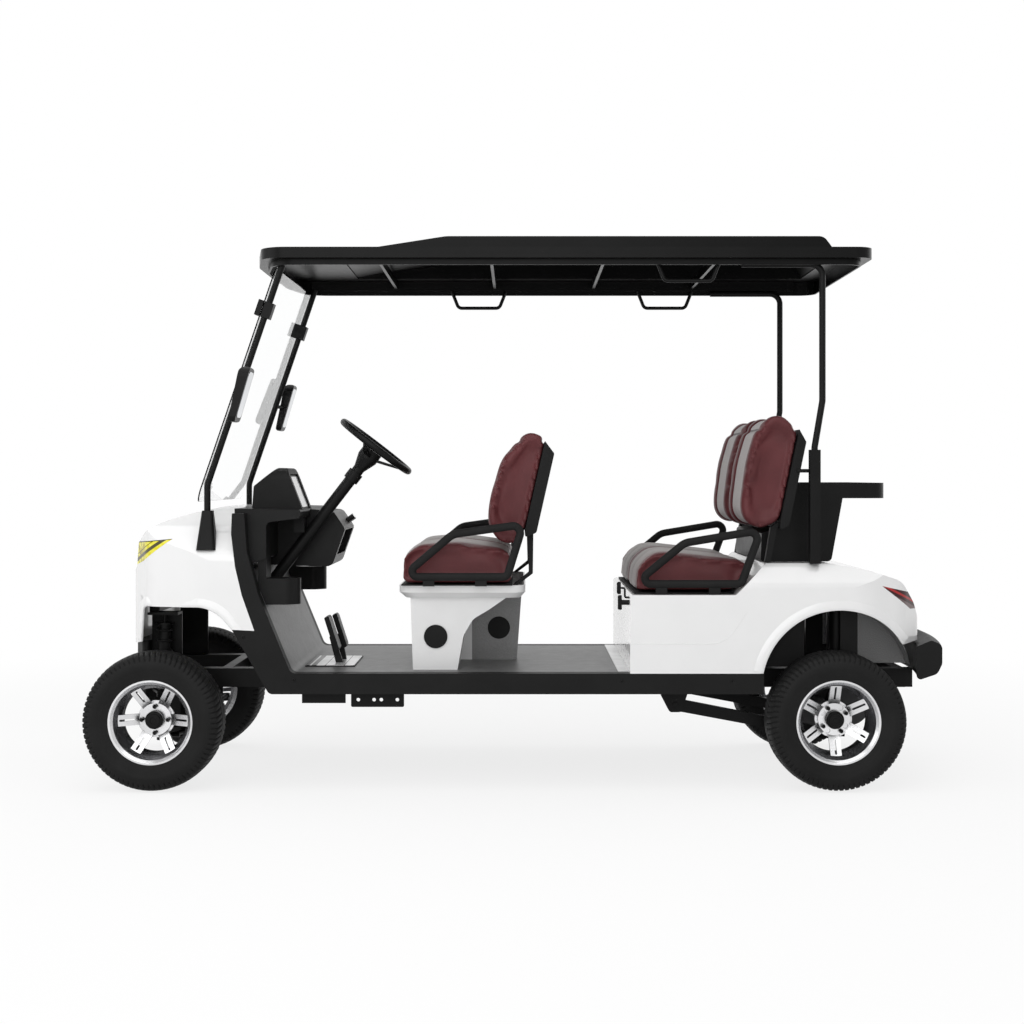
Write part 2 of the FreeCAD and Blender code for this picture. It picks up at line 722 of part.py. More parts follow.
def pedals():
    plate = box(-856, -659, -325, 35, floor_z, floor_z + 4)
    pieces = [plate]
    for y, width, lean in ((-215.0, 84.0, 0.0), (-95.0, 62.0, 18.0)):
        pad = side_prism([(-790 + lean, 640, 6), (-772 + lean, 648, 6), (-728 + lean, 512, 6),
                          (-746 + lean, 504, 6)], y - width / 2, y + width / 2)
        arm = side_prism([(-772 + lean, 560), (-752 + lean, 560), (-715, floor_z + 2), (-745, floor_z + 2)],
                         y - 9, y + 9)
        pieces.extend([pad, arm])
    return joined(pieces)


# Posts, glass, mirrors and roof

post_slope = (post_top_x - post_foot_x) / (post_top_z - post_bend_z)
roof_rail_z = rear_post_run_z + post_radius + seat_gap


def post_x(z):
    return post_foot_x + (z - post_bend_z) * post_slope


def front_post_left(cowl_outer):
    y = -front_post_y
    foot = V(post_foot_x, y, boot_depth_z + 20)
    bend = V(post_foot_x, y, post_bend_z)
    top = V(post_x(roof_rail_z + 20), y, roof_rail_z + 20)
    tube = bent_tube([foot, bend, top], 60, post_radius)
    lower = face_of([(-1248, -556, 15), (-1172, -556, 15), (-1172, -474, 15), (-1248, -474, 15)],
                    lambda a, b: V(a, b, boot_depth_z))
    upper = face_of([(-1232, -517, 12), (-1190, -517, 12), (-1190, -473, 12), (-1232, -473, 12)],
                    lambda a, b: V(a, b, boot_top_z))
    boot = Part.makeLoft([lower.Wires[0], upper.Wires[0]], True, True)
    half = clamp_size / 2
    clamp = box(-half, half, y - 24, y + 24, -half, half)
    clamp.rotate(V(0, 0, 0), V(0, 1, 0), math.degrees(math.atan(post_slope)))
    clamp.translate(V(post_x(clamp_z) - 8, 0, clamp_z))
    limit = box(-1400, -700, -700, 0, 600, roof_rail_z - seat_gap)
    return joined([tube, boot, clamp]).cut(cowl_outer).common(limit)


def windshield(posts):
    """One flat pane just ahead of the posts, held by the clamps."""
    ahead = post_radius + seat_gap
    z0 = 1110.0
    z1 = roof_skirt_z - 4
    x0 = post_x(z0)
    x1 = post_x(z1)
    cosine = math.cos(math.atan(post_slope))
    near = ahead / cosine
    far = (ahead + glass_thickness) / cosine
    pane = side_prism([(x0 - near, z0), (x1 - near, z1), (x1 - far, z1), (x0 - far, z0)],
                      -glass_half_width, glass_half_width)
    corner_cut = front_prism([(-glass_half_width, z0, 60), (glass_half_width, z0, 60),
                              (glass_half_width, z1, 40), (-glass_half_width, z1, 40)], -1300, -800)
    return pane.common(corner_cut).cut(posts)


def mirror_left(posts):
    half_z = mirror_height / 2
    lean = 22.0
    x = post_x(mirror_z) + 38
    y = -mirror_y
    shell = side_prism([(x - mirror_depth / 2 - lean, mirror_z - half_z, 18), (x - lean, mirror_z - half_z, 10),
                        (x + mirror_depth / 2 + 14, mirror_z + half_z - 4, 10),
                        (x - 4, mirror_z + half_z, 22)], y - mirror_width / 2, y + mirror_width / 2)
    rounding = front_prism([(y - mirror_width / 2, mirror_z - half_z, 22), (y + mirror_width / 2, mirror_z - half_z, 22),
                            (y + mirror_width / 2, mirror_z + half_z, 40),
                            (y - mirror_width / 2, mirror_z + half_z, 40)], x - 120, x + 120)
    arm = rod(V(post_x(mirror_z) + 4, -front_post_y, mirror_z), V(x, y + mirror_width / 4, mirror_z), 8)
    return joined([shell.common(rounding), arm]).cut(posts)


def roof():
    def lip_plan(inset):
        i = inset
        w = roof_half_width - i
        return [(roof_front_x + 60 + i, -w, 110), (roof_front_x + i, -250, 300), (roof_front_x + i, 250, 300),
                (roof_front_x + 60 + i, w, 110), (roof_rear_x - i, w, 70), (roof_rear_x - i, -w, 70)]

    def crown(inset):
        i = inset
        return side_prism([(-722 + i, roof_edge_z - 20), (-722 + i, roof_edge_z), (-293 + i, roof_crown_z - i, 200),
                           (1193 - i, roof_crown_z - i, 40), (1243 - i, roof_edge_z), (1243 - i, roof_edge_z - 20)],
                          -crown_half_width + i, crown_half_width - i)

    lip = plan_prism(lip_plan(0), roof_lip_z, roof_edge_z)
    skirt = plan_prism(lip_plan(35), roof_skirt_z, roof_lip_z + 5)
    solid = joined([lip, skirt, crown(0)])
    under = plan_prism(lip_plan(35 + roof_wall), roof_skirt_z - 1, roof_edge_z - roof_wall)
    edge_hollow = plan_prism(lip_plan(roof_wall), roof_lip_z + roof_wall, roof_edge_z - roof_wall)
    edge_hollow = edge_hollow.cut(plan_prism(lip_plan(35), roof_lip_z, roof_edge_z))
    shell = solid.cut(under).cut(edge_hollow).cut(crown(roof_wall))
    pieces = [shell]
    for x0, x1 in ((-305, -132), (194, 362), (688, 857)):
        pad = box(x0, x1, -crown_half_width + 90, crown_half_width - 90, roof_crown_z - roof_wall,
                  roof_crown_z + roof_pad_height)
        pieces.append(pad)
    for side in (-1, 1):
        y = side * roof_rail_y
        pieces.append(box(-935, rear_post_x + 60, y - roof_rail_width / 2, y + roof_rail_width / 2, roof_rail_z,
                          roof_edge_z - roof_wall + 1))
    rib_z = roof_skirt_z + 25
    for x in (-560.0, -120.0, 320.0, 760.0):
        pieces.append(box(x, x + 12, -roof_rail_y, roof_rail_y, rib_z, roof_edge_z - roof_wall + 1))
    return joined(pieces)


def handle(x0, x1, side):
    y = side * roof_rail_y
    top = roof_rail_z - seat_gap
    low = top - handle_drop
    return bent_tube([V(x0, y, top), V(x0 + 30, y, low), V(x1 - 30, y, low), V(x1, y, top)], 22, handle_radius)


def rear_post_left():
    y = -roof_rail_y
    run = bent_tube([V(852, y, rear_post_run_z), V(rear_post_x, y, rear_post_run_z), V(rear_post_x, y, 1500),
                     V(socket_x, y, socket_top_z + 10), V(socket_x, y, socket_top_z - 60)],
                    rear_post_bend, post_radius)
    half = socket_size / 2
    socket = box(socket_x - half, socket_x + half, y - half, y + half, deck_z, socket_top_z)
    return joined([run, socket])


# Seats

def front_seat_pod():
    def leg(inset):
        i = inset
        w = pod_half_width - i
        return side_prism([(-421 + i, floor_z - i), (-247 - i, floor_z - i), (-224 - i, 585 + i, 60),
                           (-186 - i, 650 + i, 60), (-122, 688 + i, 80), (-50, pod_rim_z + 3), (-50, pod_rim_z + 12),
                           (pod_front_x + i, pod_rim_z + 12)], -w, w)

    def spine(inset):
        i = inset
        w = spine_half_width - i
        return side_prism([(-250, floor_z - i), (-15 - i, floor_z - i), (6 - i, pod_rim_z + 12),
                           (-250, pod_rim_z + 12)], -w, w)

    def rim(inset):
        i = inset
        w = pod_rim_half_width - i
        lower = [(-450 + i, -w + 26, 50), (0 - i, -w + 26, 50), (0 - i, w - 26, 50), (-450 + i, w - 26, 50)]
        upper = [(-474 + i, -w, 60), (19 - i, -w, 60), (19 - i, w, 60), (-474 + i, w, 60)]
        bowl = Part.makeLoft([face_of(lower, lambda a, b: V(a, b, pod_rim_z + i)).Wires[0],
                              face_of(upper, lambda a, b: V(a, b, pod_rim_z + 22)).Wires[0]], True, True)
        return bowl.fuse(plan_prism(upper, pod_rim_z + 22, pod_top_z + (1 if i else 0)))

    outer = joined([leg(0), spine(0), rim(0)])
    inner = joined([leg(pod_wall), spine(pod_wall), rim(pod_wall)])
    shell = outer.cut(inner)
    for x, z, y in ((-332.0, 582.0, pod_half_width), (-89.0, 584.0, spine_half_width)):
        shell = shell.cut(rod(V(x, -y - 5, z), V(x, y + 5, z), vent_radius - 4))
    return shell


def pod_vents():
    """Round vent caps: a flange outside the wall and a spigot in its hole."""
    pieces = []
    for x, z, y in ((-332.0, 582.0, pod_half_width), (-89.0, 584.0, spine_half_width)):
        flange = rod(V(x, -y, z), V(x, -y - 4, z), vent_radius)
        spigot = rod(V(x, -y + pod_wall, z), V(x, -y, z), vent_radius - 4 - seat_gap)
        pieces.append(flange.fuse(spigot))
    left = Part.makeCompound(pieces)
    return both_sides(left)


class SeatRow:
    """One bench row: its sizes in side view and the pieces made from them.

    rest_low and rest_high are the ends of the straight line along which the backrest pads
    lie on their shell; the shell spans shell_low_z to shell_high_z behind that line. heel is how far
    the cushion's lower rear edge stands behind its upper one.
    """

    def __init__(self, cushion, pan_front_x, pan_rear_x, arm, back, rest_low, rest_high, shell_low_z,
                 shell_high_z, shell_thickness, foot, base_z, heel):
        self.cushion = cushion
        self.pan_front_x = pan_front_x
        self.pan_rear_x = pan_rear_x
        self.arm = arm
        self.back = back + [rest_high, rest_low]
        self.rest_low = rest_low
        self.rest_high = rest_high
        self.shell_low_z = shell_low_z
        self.shell_high_z = shell_high_z
        self.shell_thickness = shell_thickness
        self.foot = foot
        self.base_z = base_z
        self.heel = heel

    def behind_pad(self, z, distance):
        """Point of side view at height z, a level distance behind the pads' rear line."""
        low_x, low_z = self.rest_low[:2]
        high_x, high_z = self.rest_high[:2]
        return low_x + (z - low_z) * (high_x - low_x) / (high_z - low_z) + distance

    def shell_outline(self):
        low = self.shell_low_z
        high = self.shell_high_z
        deep = self.shell_thickness
        return [(self.behind_pad(high, seat_gap), high), (self.behind_pad(high - 48, deep), high - 48, 10),
                (self.behind_pad(low - 20, deep), low - 20, 15), (self.behind_pad(low - 38, 6), low - 38, 6),
                (self.behind_pad(low, seat_gap), low)]

    def pan_solid(self):
        w = cushion_half_width
        top = self.base_z + pan_thickness
        pieces = [box(self.pan_front_x, self.pan_rear_x, -w, w, self.base_z, top)]
        for side in (-1, 1):
            y = side * armrest_y
            points = [V(x, y, z) for x, z in self.arm]
            pieces.append(tube_loop(points, armrest_bends, armrest_radius))
            for share in (0.25, 0.75):
                x = self.arm[0][0] + share * (self.arm[-1][0] - self.arm[0][0])
                ys = sorted((side * (w - 40), side * (armrest_y + 6)))
                pieces.append(box(x - 22, x + 22, ys[0], ys[1], self.base_z, top))
                ys = sorted((side * (armrest_y - 6), side * (armrest_y + 6)))
                pieces.append(box(x - 22, x + 22, ys[0], ys[1], self.base_z, self.arm[0][1]))
        return joined(pieces)

    def cushion_solid(self):
        w = cushion_half_width - 1
        under = self.base_z + pan_thickness + seat_gap
        outline = [(self.cushion[0][0] + 4, under)] + self.cushion + [(self.cushion[-1][0] + self.heel, under)]
        block = side_prism(outline, -w, w)
        x0 = min(c[0] for c in self.cushion)
        x1 = max(c[0] for c in self.cushion)
        rounding = front_prism([(-w, 700), (w, 700), (w, max(c[1] for c in self.cushion) - 2, 30),
                                (-w, max(c[1] for c in self.cushion) - 2, 30)], x0 - 5, x1 + 5)
        return block.common(rounding)

    def back_solids(self):
        block = side_prism(self.back, -backrest_outer_y, -backrest_inner_y)
        z0 = min(c[1] for c in self.back)
        z1 = max(c[1] for c in self.back)
        x0 = min(c[0] for c in self.back)
        x1 = max(c[0] for c in self.back)
        shape = front_prism([(-backrest_outer_y + 15, z0 - 2, 60), (-backrest_inner_y - 15, z0 - 2, 60),
                             (-backrest_inner_y, 0.5 * (z0 + z1), 300), (-backrest_inner_y - 40, z1 + 2, 90),
                             (-backrest_outer_y + 40, z1 + 2, 90), (-backrest_outer_y, 0.5 * (z0 + z1), 300)],
                            x0 - 5, x1 + 5)
        left = block.common(shape)
        return left.Solids + mirrored(left).Solids

    def shell_solid(self, cuts):
        w = backrest_outer_y - 10
        panel = side_prism(self.shell_outline(), -w, w)
        pieces = [panel]
        for y in (-bracket_y, bracket_y):
            leg = face_of(self.foot, lambda a, b: V(a, y - bracket_width / 2, b)).extrude(V(0, bracket_width, 0))
            pieces.append(leg)
        solid = joined(pieces)
        for cut in cuts:
            solid = solid.cut(cut)
        return solid


rear_base_z = rear_seat_z + 1.0
front_row = SeatRow(
    cushion=[(-471, 800, 8), (-471, 893, 50), (-425, 936, 40), (-250, 949, 300), (-24, 918, 20)],
    pan_front_x=-462, pan_rear_x=-32,
    arm=[(-455, 821), (-262, 985), (10, 1023), (-52, 821)],
    back=[(-18, 937, 15), (-84, 947, 25), (-123, 1020, 40), (-107, 1127, 200), (-64, 1267, 150), (0, 1345, 60),
          (40, 1394, 25)],
    rest_low=(23, 1027, 40), rest_high=(99, 1363, 15), shell_low_z=1010, shell_high_z=1345, shell_thickness=47,
    foot=[(28, 985), (50, 985), (48, 830, 8), (-12, pod_top_z), (-30, pod_top_z + seat_gap), (32, 836, 8)],
    base_z=pod_top_z, heel=0)
rear_row = SeatRow(
    cushion=[(436, 800, 8), (440, 850, 40), (485, 903, 40), (560, 912, 150), (868, 876, 20), (915, 851, 6)],
    pan_front_x=440, pan_rear_x=825,
    arm=[(440, 794), (632, 952), (926, 1001), (850, 794)],
    back=[(942, 1000, 15), (900, 1008, 20), (869, 1040, 30), (868, 1100, 90), (890, 1260, 200), (928, 1390, 90),
          (985, 1452, 40), (1030, 1448, 30)],
    rest_low=(1007, 1040, 30), rest_high=(1081, 1396, 15), shell_low_z=1038, shell_high_z=1390, shell_thickness=37,
    foot=[(952, deck_z), (974, deck_z), (1000, 1010), (1024, 1024), (1000, 1030), (975, 1010)],
    base_z=rear_base_z, heel=-91)


# Rear body: hollow tub with open arches

def rear_body_side(grow):
    g = grow
    return [(rear_body_front_x - g, floor_z + 12 * g), (rear_body_front_x - g, rear_seat_z + g, 12),
            (826, rear_seat_z + g, 10), (934, 858 + g, 20), (950, deck_z + g, 12), (1189, deck_z + g, 200),
            (1337, 848 + g, 200), (1475, 803 + g, 90), (1540 + g, 715, 90), (1564 + g, 655, 60),
            (rear_body_end_x + g, 566 + 12 * g), (1481, 557 + 12 * g), (933, floor_z + 12 * g)]


def rear_body_block(grow):
    g = grow
    w = body_half_width + g
    side = side_prism(rear_body_side(g), -w - 5, w + 5)
    plan = plan_prism([(rear_body_front_x - 50, -w), (1330, -w, 300), (1480, -500 - g, 120),
                       (rear_body_end_x + g, -380, 90), (rear_body_end_x + g, 380, 90), (1480, 500 + g, 120),
                       (1330, w, 300), (rear_body_front_x - 50, w)], 400, 1000)
    front = front_prism([(-w, 400), (w, 400), (w, 790, 40), (w - 60, deck_z + 4 + g, 60),
                         (-w + 60, deck_z + 4 + g, 60), (-w, 790, 40)], 300, 1700)
    return side.common(plan).common(front)


def rear_arch(radius, y0, y1):
    return rod(V(rear_arch_x, y0, rear_arch_z), V(rear_arch_x, y1, rear_arch_z), radius)


def taillight_zone(grow):
    g = grow
    corners = [(1392 - 2 * g, 786 + g), (1600, 738 + g), (1600, 690 - g), (1520, 692 - g)]
    return side_prism(corners, -body_half_width - 5, -330 + g)


def rear_body_parts():
    outer = rear_body_block(0)
    inner = rear_body_block(-shell_wall)
    down = inner.copy()
    down.translate(V(0, 0, -2 * shell_wall))
    shell = outer.cut(inner).cut(down)
    for side in (-1, 1):
        shell = shell.cut(rear_arch(rear_arch_radius, side * 330, side * 700))
    lens = outer.common(taillight_zone(0)).cut(rear_body_block(-40))
    lens = largest(lens)
    shell = shell.cut(taillight_zone(seat_gap)).cut(mirrored(taillight_zone(seat_gap)))
    return outer, largest(shell), lens


def wheel_well_left():
    """Black liner behind the rear half of the arch: a curved sheet and its inner wall."""
    inner_y = -well_y
    outer_y = -body_half_width + shell_wall + seat_gap
    sheet = rear_arch(rear_arch_radius, outer_y, inner_y)
    sheet = rear_arch(rear_arch_radius + well_wall, outer_y, inner_y).cut(sheet)
    wall = rear_arch(rear_arch_radius + well_wall, inner_y, inner_y + well_wall)
    keep = side_prism([(1262, 473), (1600, 473), (1600, 720), (1262, 720)], -700, 0)
    return joined([sheet, wall]).common(keep).common(rear_body_block(-shell_wall - seat_gap))


def rear_bumper(body_outer):
    """Moulded bumper bowed in plan."""
    profile = [(-98, 550, 12), (-40, 577, 20), (0, 560, 25), (0, 487, 30), (-18, 448, 30), (-96, 419, 15)]
    ends_x = 1622.0
    middle_x = 1682.0
    half = body_half_width - 20
    bow = Part.Arc(V(ends_x, -half, 0), V(middle_x, 0, 0), V(ends_x, half, 0)).toShape()
    start = bow.valueAt(bow.FirstParameter)
    tangent = bow.tangentAt(bow.FirstParameter)
    outward = tangent.cross(V(0, 0, 1))
    section = face_of(profile, lambda a, b: V(start.x, start.y, 0) + outward * a + V(0, 0, b))
    bar = Part.Wire(bow).makePipeShell([section.Wires[0]], True, True)
    stay = [box(rail_rear_x, 1570, y - 25, y + 25, rail_bottom_z, rail_bottom_z + rail_height)
            for y in (-rail_y, rail_y)]
    return joined([bar] + stay).cut(body_outer)


def storage_box():
    w = storage_half_width
    foot_z = deck_z + seat_gap
    t = storage_wall

    def outline(i, top):
        """Bin in side view: it runs forward under the backrest and rises behind the shell."""
        return [(948 + i, foot_z + i, 10), (1227 - i, foot_z + i, 20), (1283 - i, top), (1080 + i, top),
                (1046 + i, 1012 - i, 8), (952 + i, 985 - i, 10)]

    block = side_prism(outline(0, storage_top_z), -w, w)
    hollow = side_prism(outline(t, storage_top_z + 1), -w + t, w - t)
    band_t = storage_band_thickness
    band = plan_prism([(1230, -w), (storage_band_x, -w, 60), (storage_band_x, w, 60), (1230, w)],
                      storage_band_z, storage_top_z)
    inside = plan_prism([(1200, -w + band_t), (storage_band_x - band_t, -w + band_t, 55),
                         (storage_band_x - band_t, w - band_t, 55), (1200, w - band_t)],
                        storage_band_z - 1, storage_top_z + 1)
    return joined([block.cut(hollow), band.cut(inside)])


def link_bars():
    """Short bars from the rear backrest shell to the square post sockets."""
    return [rod(V(1070, side * 500, 1230), V(socket_x - socket_size / 2, side * 500, 1230), 7)
            for side in (-1, 1)]


def foot_plate():
    half = body_half_width - sill_width
    return box(377, rear_body_front_x - seat_gap, -half, half, floor_z, floor_z + 3)


# Rear axle, drive unit and trailing arms

def rear_axle():
    end_y = hub_back_y - seat_gap
    centre = V(rear_axle_x, 0, tyre_radius)
    tube = rod(centre - V(0, end_y, 0), centre + V(0, end_y, 0), axle_tube_radius)
    stub_end = end_y + hub_boss_length - 8
    stub = rod(centre - V(0, stub_end, 0), centre + V(0, stub_end, 0), stub_radius)
    case = rod(centre - V(0, drive_case_width / 2, 0), centre + V(0, drive_case_width / 2, 0), drive_case_radius)
    case = case.common(box(rear_axle_x - 200, rear_axle_x + 200, -200, 200, tyre_radius - drive_case_radius,
                           rail_bottom_z - 5))
    motor_y = drive_case_width / 2
    motor = rod(V(rear_axle_x + 125, -motor_length + motor_y, tyre_radius + 10),
                V(rear_axle_x + 125, motor_y, tyre_radius + 10), motor_radius)
    bridge = box(rear_axle_x + 60, rear_axle_x + 130, -motor_y, motor_y, tyre_radius - 50, tyre_radius + 60)
    return joined([tube, stub, case, motor, bridge])


def rear_suspension(axle):
    y = -trailing_arm_y
    half = trailing_arm_width / 2
    arm = side_prism([(hanger_x - 22, hanger_z + 20, 18), (hanger_x - 22, hanger_z - 20, 18), (rear_axle_x - 20, 172),
                      (rear_axle_x + 45, 172, 12), (rear_axle_x + 45, 215), (rear_axle_x - 20, 215),
                      (hanger_x + 20, hanger_z + 20, 10)], y - half, y + half)
    saddle = box(rear_axle_x - 40, rear_axle_x + 40, y - half, y + half, 200, tyre_radius)
    hanger = side_prism([(557, rail_bottom_z + 40), (557, 340, 10), (hanger_x - 22, 276, 14),
                         (hanger_x + 24, 276, 14), (662, 354), (662, rail_bottom_z + 40)], y - half - 8, y - half - 0.3)
    hanger_inner = hanger.copy()
    hanger_inner.translate(V(0, trailing_arm_width + 8.6, 0))
    pin = rod(V(hanger_x, y - half - 14, hanger_z), V(hanger_x, y + half + 14, hanger_z), 10)
    carry = box(557, 662, -trailing_arm_y - half - 8, -rail_y - rail_width / 2, rail_bottom_z + 40,
                rail_bottom_z + 60)
    shock_x = rear_axle_x + 47
    shock_y = -300.0
    shock = rod(V(shock_x, shock_y, 194), V(shock_x, shock_y, 700), damper_radius)
    spring = rod(V(shock_x, shock_y, 420), V(shock_x, shock_y, 690), coil_radius)
    foot = box(shock_x - 20, shock_x + 20, shock_y - 60, shock_y + 12, 180, 210)
    mast = box(shock_x - 30, shock_x + 30, -rail_y - 12, -rail_y + 12, rail_bottom_z + rail_height, 715)
    head = box(shock_x - 30, shock_x + 30, shock_y - 20, -rail_y + 12, 700, 715)
    left = joined([arm, saddle, hanger, hanger_inner, pin, carry, shock, spring, foot, mast, head])
    left = left.cut(axle).cut(chassis_solid()).cut(floor_pan())
    return Part.makeCompound(left.Solids + mirrored(left).Solids)


def battery():
    """One plain block for the heavy battery pack under the rear seat."""
    return box(480, 800, -240, 240, floor_z, floor_z + 250)


def build():
    os.makedirs("parts", exist_ok=True)
    rim = rim_left()
    tyre = tyre_left()
    tyre = tyre.cut(rim)
    for name, x, side in wheel_places():
        turn = 0.0 if x < 0 else 30.0
        save("rim_" + name, at_wheel(rim, x, side, turn))
        save("tyre_" + name, at_wheel(tyre, x, side, 0.0))

    chassis = chassis_solid()
    save("chassis_frame", chassis)
    save("floor_pan", floor_pan())
    cowl_outer, cowl, lamp = cowl_parts()
    save("sills", both_sides(sill_left().cut(cowl_outer)))
    save("front_cowl", cowl)
    save("headlights", both_sides(lamp))
    save("front_bumper", front_bumper(cowl_outer))

    dash = largest(dashboard().cut(cowl_outer).cut(floor_pan()))
    save("dashboard", dash)
    save("display_housing", display_housing(dash))
    column = steering_column()
    save("steering_column", column.cut(dash).cut(floor_pan()))
    save("steering_wheel", steering_wheel())
    save("pedals", pedals())

    post = front_post_left(cowl_outer)
    posts = both_sides(post)
    save("front_posts", posts)
    save("windshield", windshield(posts))
    save("mirrors", both_sides(mirror_left(posts)))
    top = roof()
    save("roof", top)
    handles = [handle(x0, x0 + handle_length, side).cut(top)
               for x0, side in ((526.0, -1), (526.0, 1), (-307.0, 1))]
    save("roof_handles", Part.makeCompound(handles))
    rear_post = rear_post_left()
    save("rear_posts", both_sides(rear_post))

    save("front_seat_pod", front_seat_pod())
    save("pod_vents", pod_vents())
    body_outer, body, tail = rear_body_parts()
    pans = [front_row.pan_solid(), rear_row.pan_solid()]
    save("seat_pans", Part.makeCompound(pans))
    cushions = [front_row.cushion_solid(), rear_row.cushion_solid()]
    save("seat_cushions", Part.makeCompound(cushions))
    backs = front_row.back_solids() + rear_row.back_solids()
    save("backrests", Part.makeCompound(backs))

    save("rear_body", body)
    save("taillights", both_sides(tail))
    save("wheel_wells", both_sides(wheel_well_left()))
    save("rear_bumper", rear_bumper(body_outer))
    save("storage_box", storage_box())
    save("foot_plate", foot_plate())
    shells = [front_row.shell_solid(backs), joined([rear_row.shell_solid(backs)] + link_bars()).cut(storage_box())]
    save("backrest_shells", Part.makeCompound(shells))

    axle = rear_axle()
    save("rear_axle", axle.cut(chassis))
    save("rear_suspension", rear_suspension(axle))
    save("front_suspension", front_suspension())
    save("battery", battery())
    left = knuckle_left()
    save("knuckle_left", left)
    save("knuckle_right", mirrored(left))
    save("steering_rack", steering_rack())


build()
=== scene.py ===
"""Looks of a lifted golf cart with two forward-facing benches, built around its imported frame.

Front is -X, the vehicle's left is -Y and up is +Z. Lengths are metres.
"""

import logging
import math
from dataclasses import dataclass, field
from enum import Enum
from functools import cache, cached_property
from typing import Callable, Iterable, Sequence

import bmesh
import bpy
import numpy as np
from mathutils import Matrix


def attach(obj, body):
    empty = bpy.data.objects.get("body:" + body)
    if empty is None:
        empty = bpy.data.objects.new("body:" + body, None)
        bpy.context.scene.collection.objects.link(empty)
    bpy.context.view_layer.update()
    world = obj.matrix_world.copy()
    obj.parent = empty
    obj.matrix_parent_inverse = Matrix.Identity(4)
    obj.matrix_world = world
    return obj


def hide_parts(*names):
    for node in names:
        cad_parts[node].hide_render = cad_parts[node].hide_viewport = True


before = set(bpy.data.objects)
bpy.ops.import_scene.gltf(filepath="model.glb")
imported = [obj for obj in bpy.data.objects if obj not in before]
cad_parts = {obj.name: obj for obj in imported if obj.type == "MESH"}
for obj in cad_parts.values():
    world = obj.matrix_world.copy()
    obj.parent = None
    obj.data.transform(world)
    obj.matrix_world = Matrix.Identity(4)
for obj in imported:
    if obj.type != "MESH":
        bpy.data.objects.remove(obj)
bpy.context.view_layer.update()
log = logging.getLogger("cart")

Array = np.ndarray
Colour = tuple[float, float, float]
Place = tuple[float, float, float]
Outline = tuple[tuple[float, float], ...]

FRONT_AXLE_X = -1.415
REAR_AXLE_X = 1.215
WHEEL_Y = 0.5
WHEEL_Z = 0.267
BODY_SIDE_Y = 0.56
REAR_ARCH = (1.227, 0.392)


# Shader maths


class Term:
    """A shader value whose arithmetic adds Math nodes."""

    def __init__(self, graph: "Graph", socket: bpy.types.NodeSocket) -> None:
        """Wraps one output socket of a graph."""
        self.graph = graph
        self.socket = socket

    def _math(self, operation: str, first: "Term | float", second: "Term | float" = 0.0) -> "Term":
        """One Math node."""
        return self.graph.node("ShaderNodeMath", {"operation": operation}, {0: first, 1: second})

    def __add__(self, other: "Term | float") -> "Term":
        """Sum."""
        return self._math("ADD", self, other)

    def __sub__(self, other: "Term | float") -> "Term":
        """Difference."""
        return self._math("SUBTRACT", self, other)

    def __rsub__(self, other: float) -> "Term":
        """Difference from a number."""
        return self._math("SUBTRACT", other, self)

    def __mul__(self, other: "Term | float") -> "Term":
        """Product."""
        return self._math("MULTIPLY", self, other)

    def __abs__(self) -> "Term":
        """Distance from zero."""
        return self._math("ABSOLUTE", self)

    def __gt__(self, limit: float) -> "Term":
        """1 above the limit and 0 below it."""
        return self._math("GREATER_THAN", self, limit)

    def __lt__(self, limit: float) -> "Term":
        """1 below the limit and 0 above it."""
        return self._math("LESS_THAN", self, limit)

    def sine(self) -> "Term":
        """Sine of the value in radians."""
        return self._math("SINE", self)

    def root(self) -> "Term":
        """Square root."""
        return self._math("SQRT", self)

    def smaller(self, other: "Term | float") -> "Term":
        """The smaller of two values."""
        return self._math("MINIMUM", self, other)

    def larger(self, other: "Term | float") -> "Term":
        """The larger of two values."""
        return self._math("MAXIMUM", self, other)

    def ramp(self, start: float, end: float) -> "Term":
        """0 at start and 1 at end, eased between them.

        Args:
            start: the value that gives 0.
            end: the value that gives 1.

        Returns:
            The eased value.
        """
        return self.graph.node(
            "ShaderNodeMapRange", {"interpolation_type": "SMOOTHSTEP"}, {0: self, 1: start, 2: end}
        )


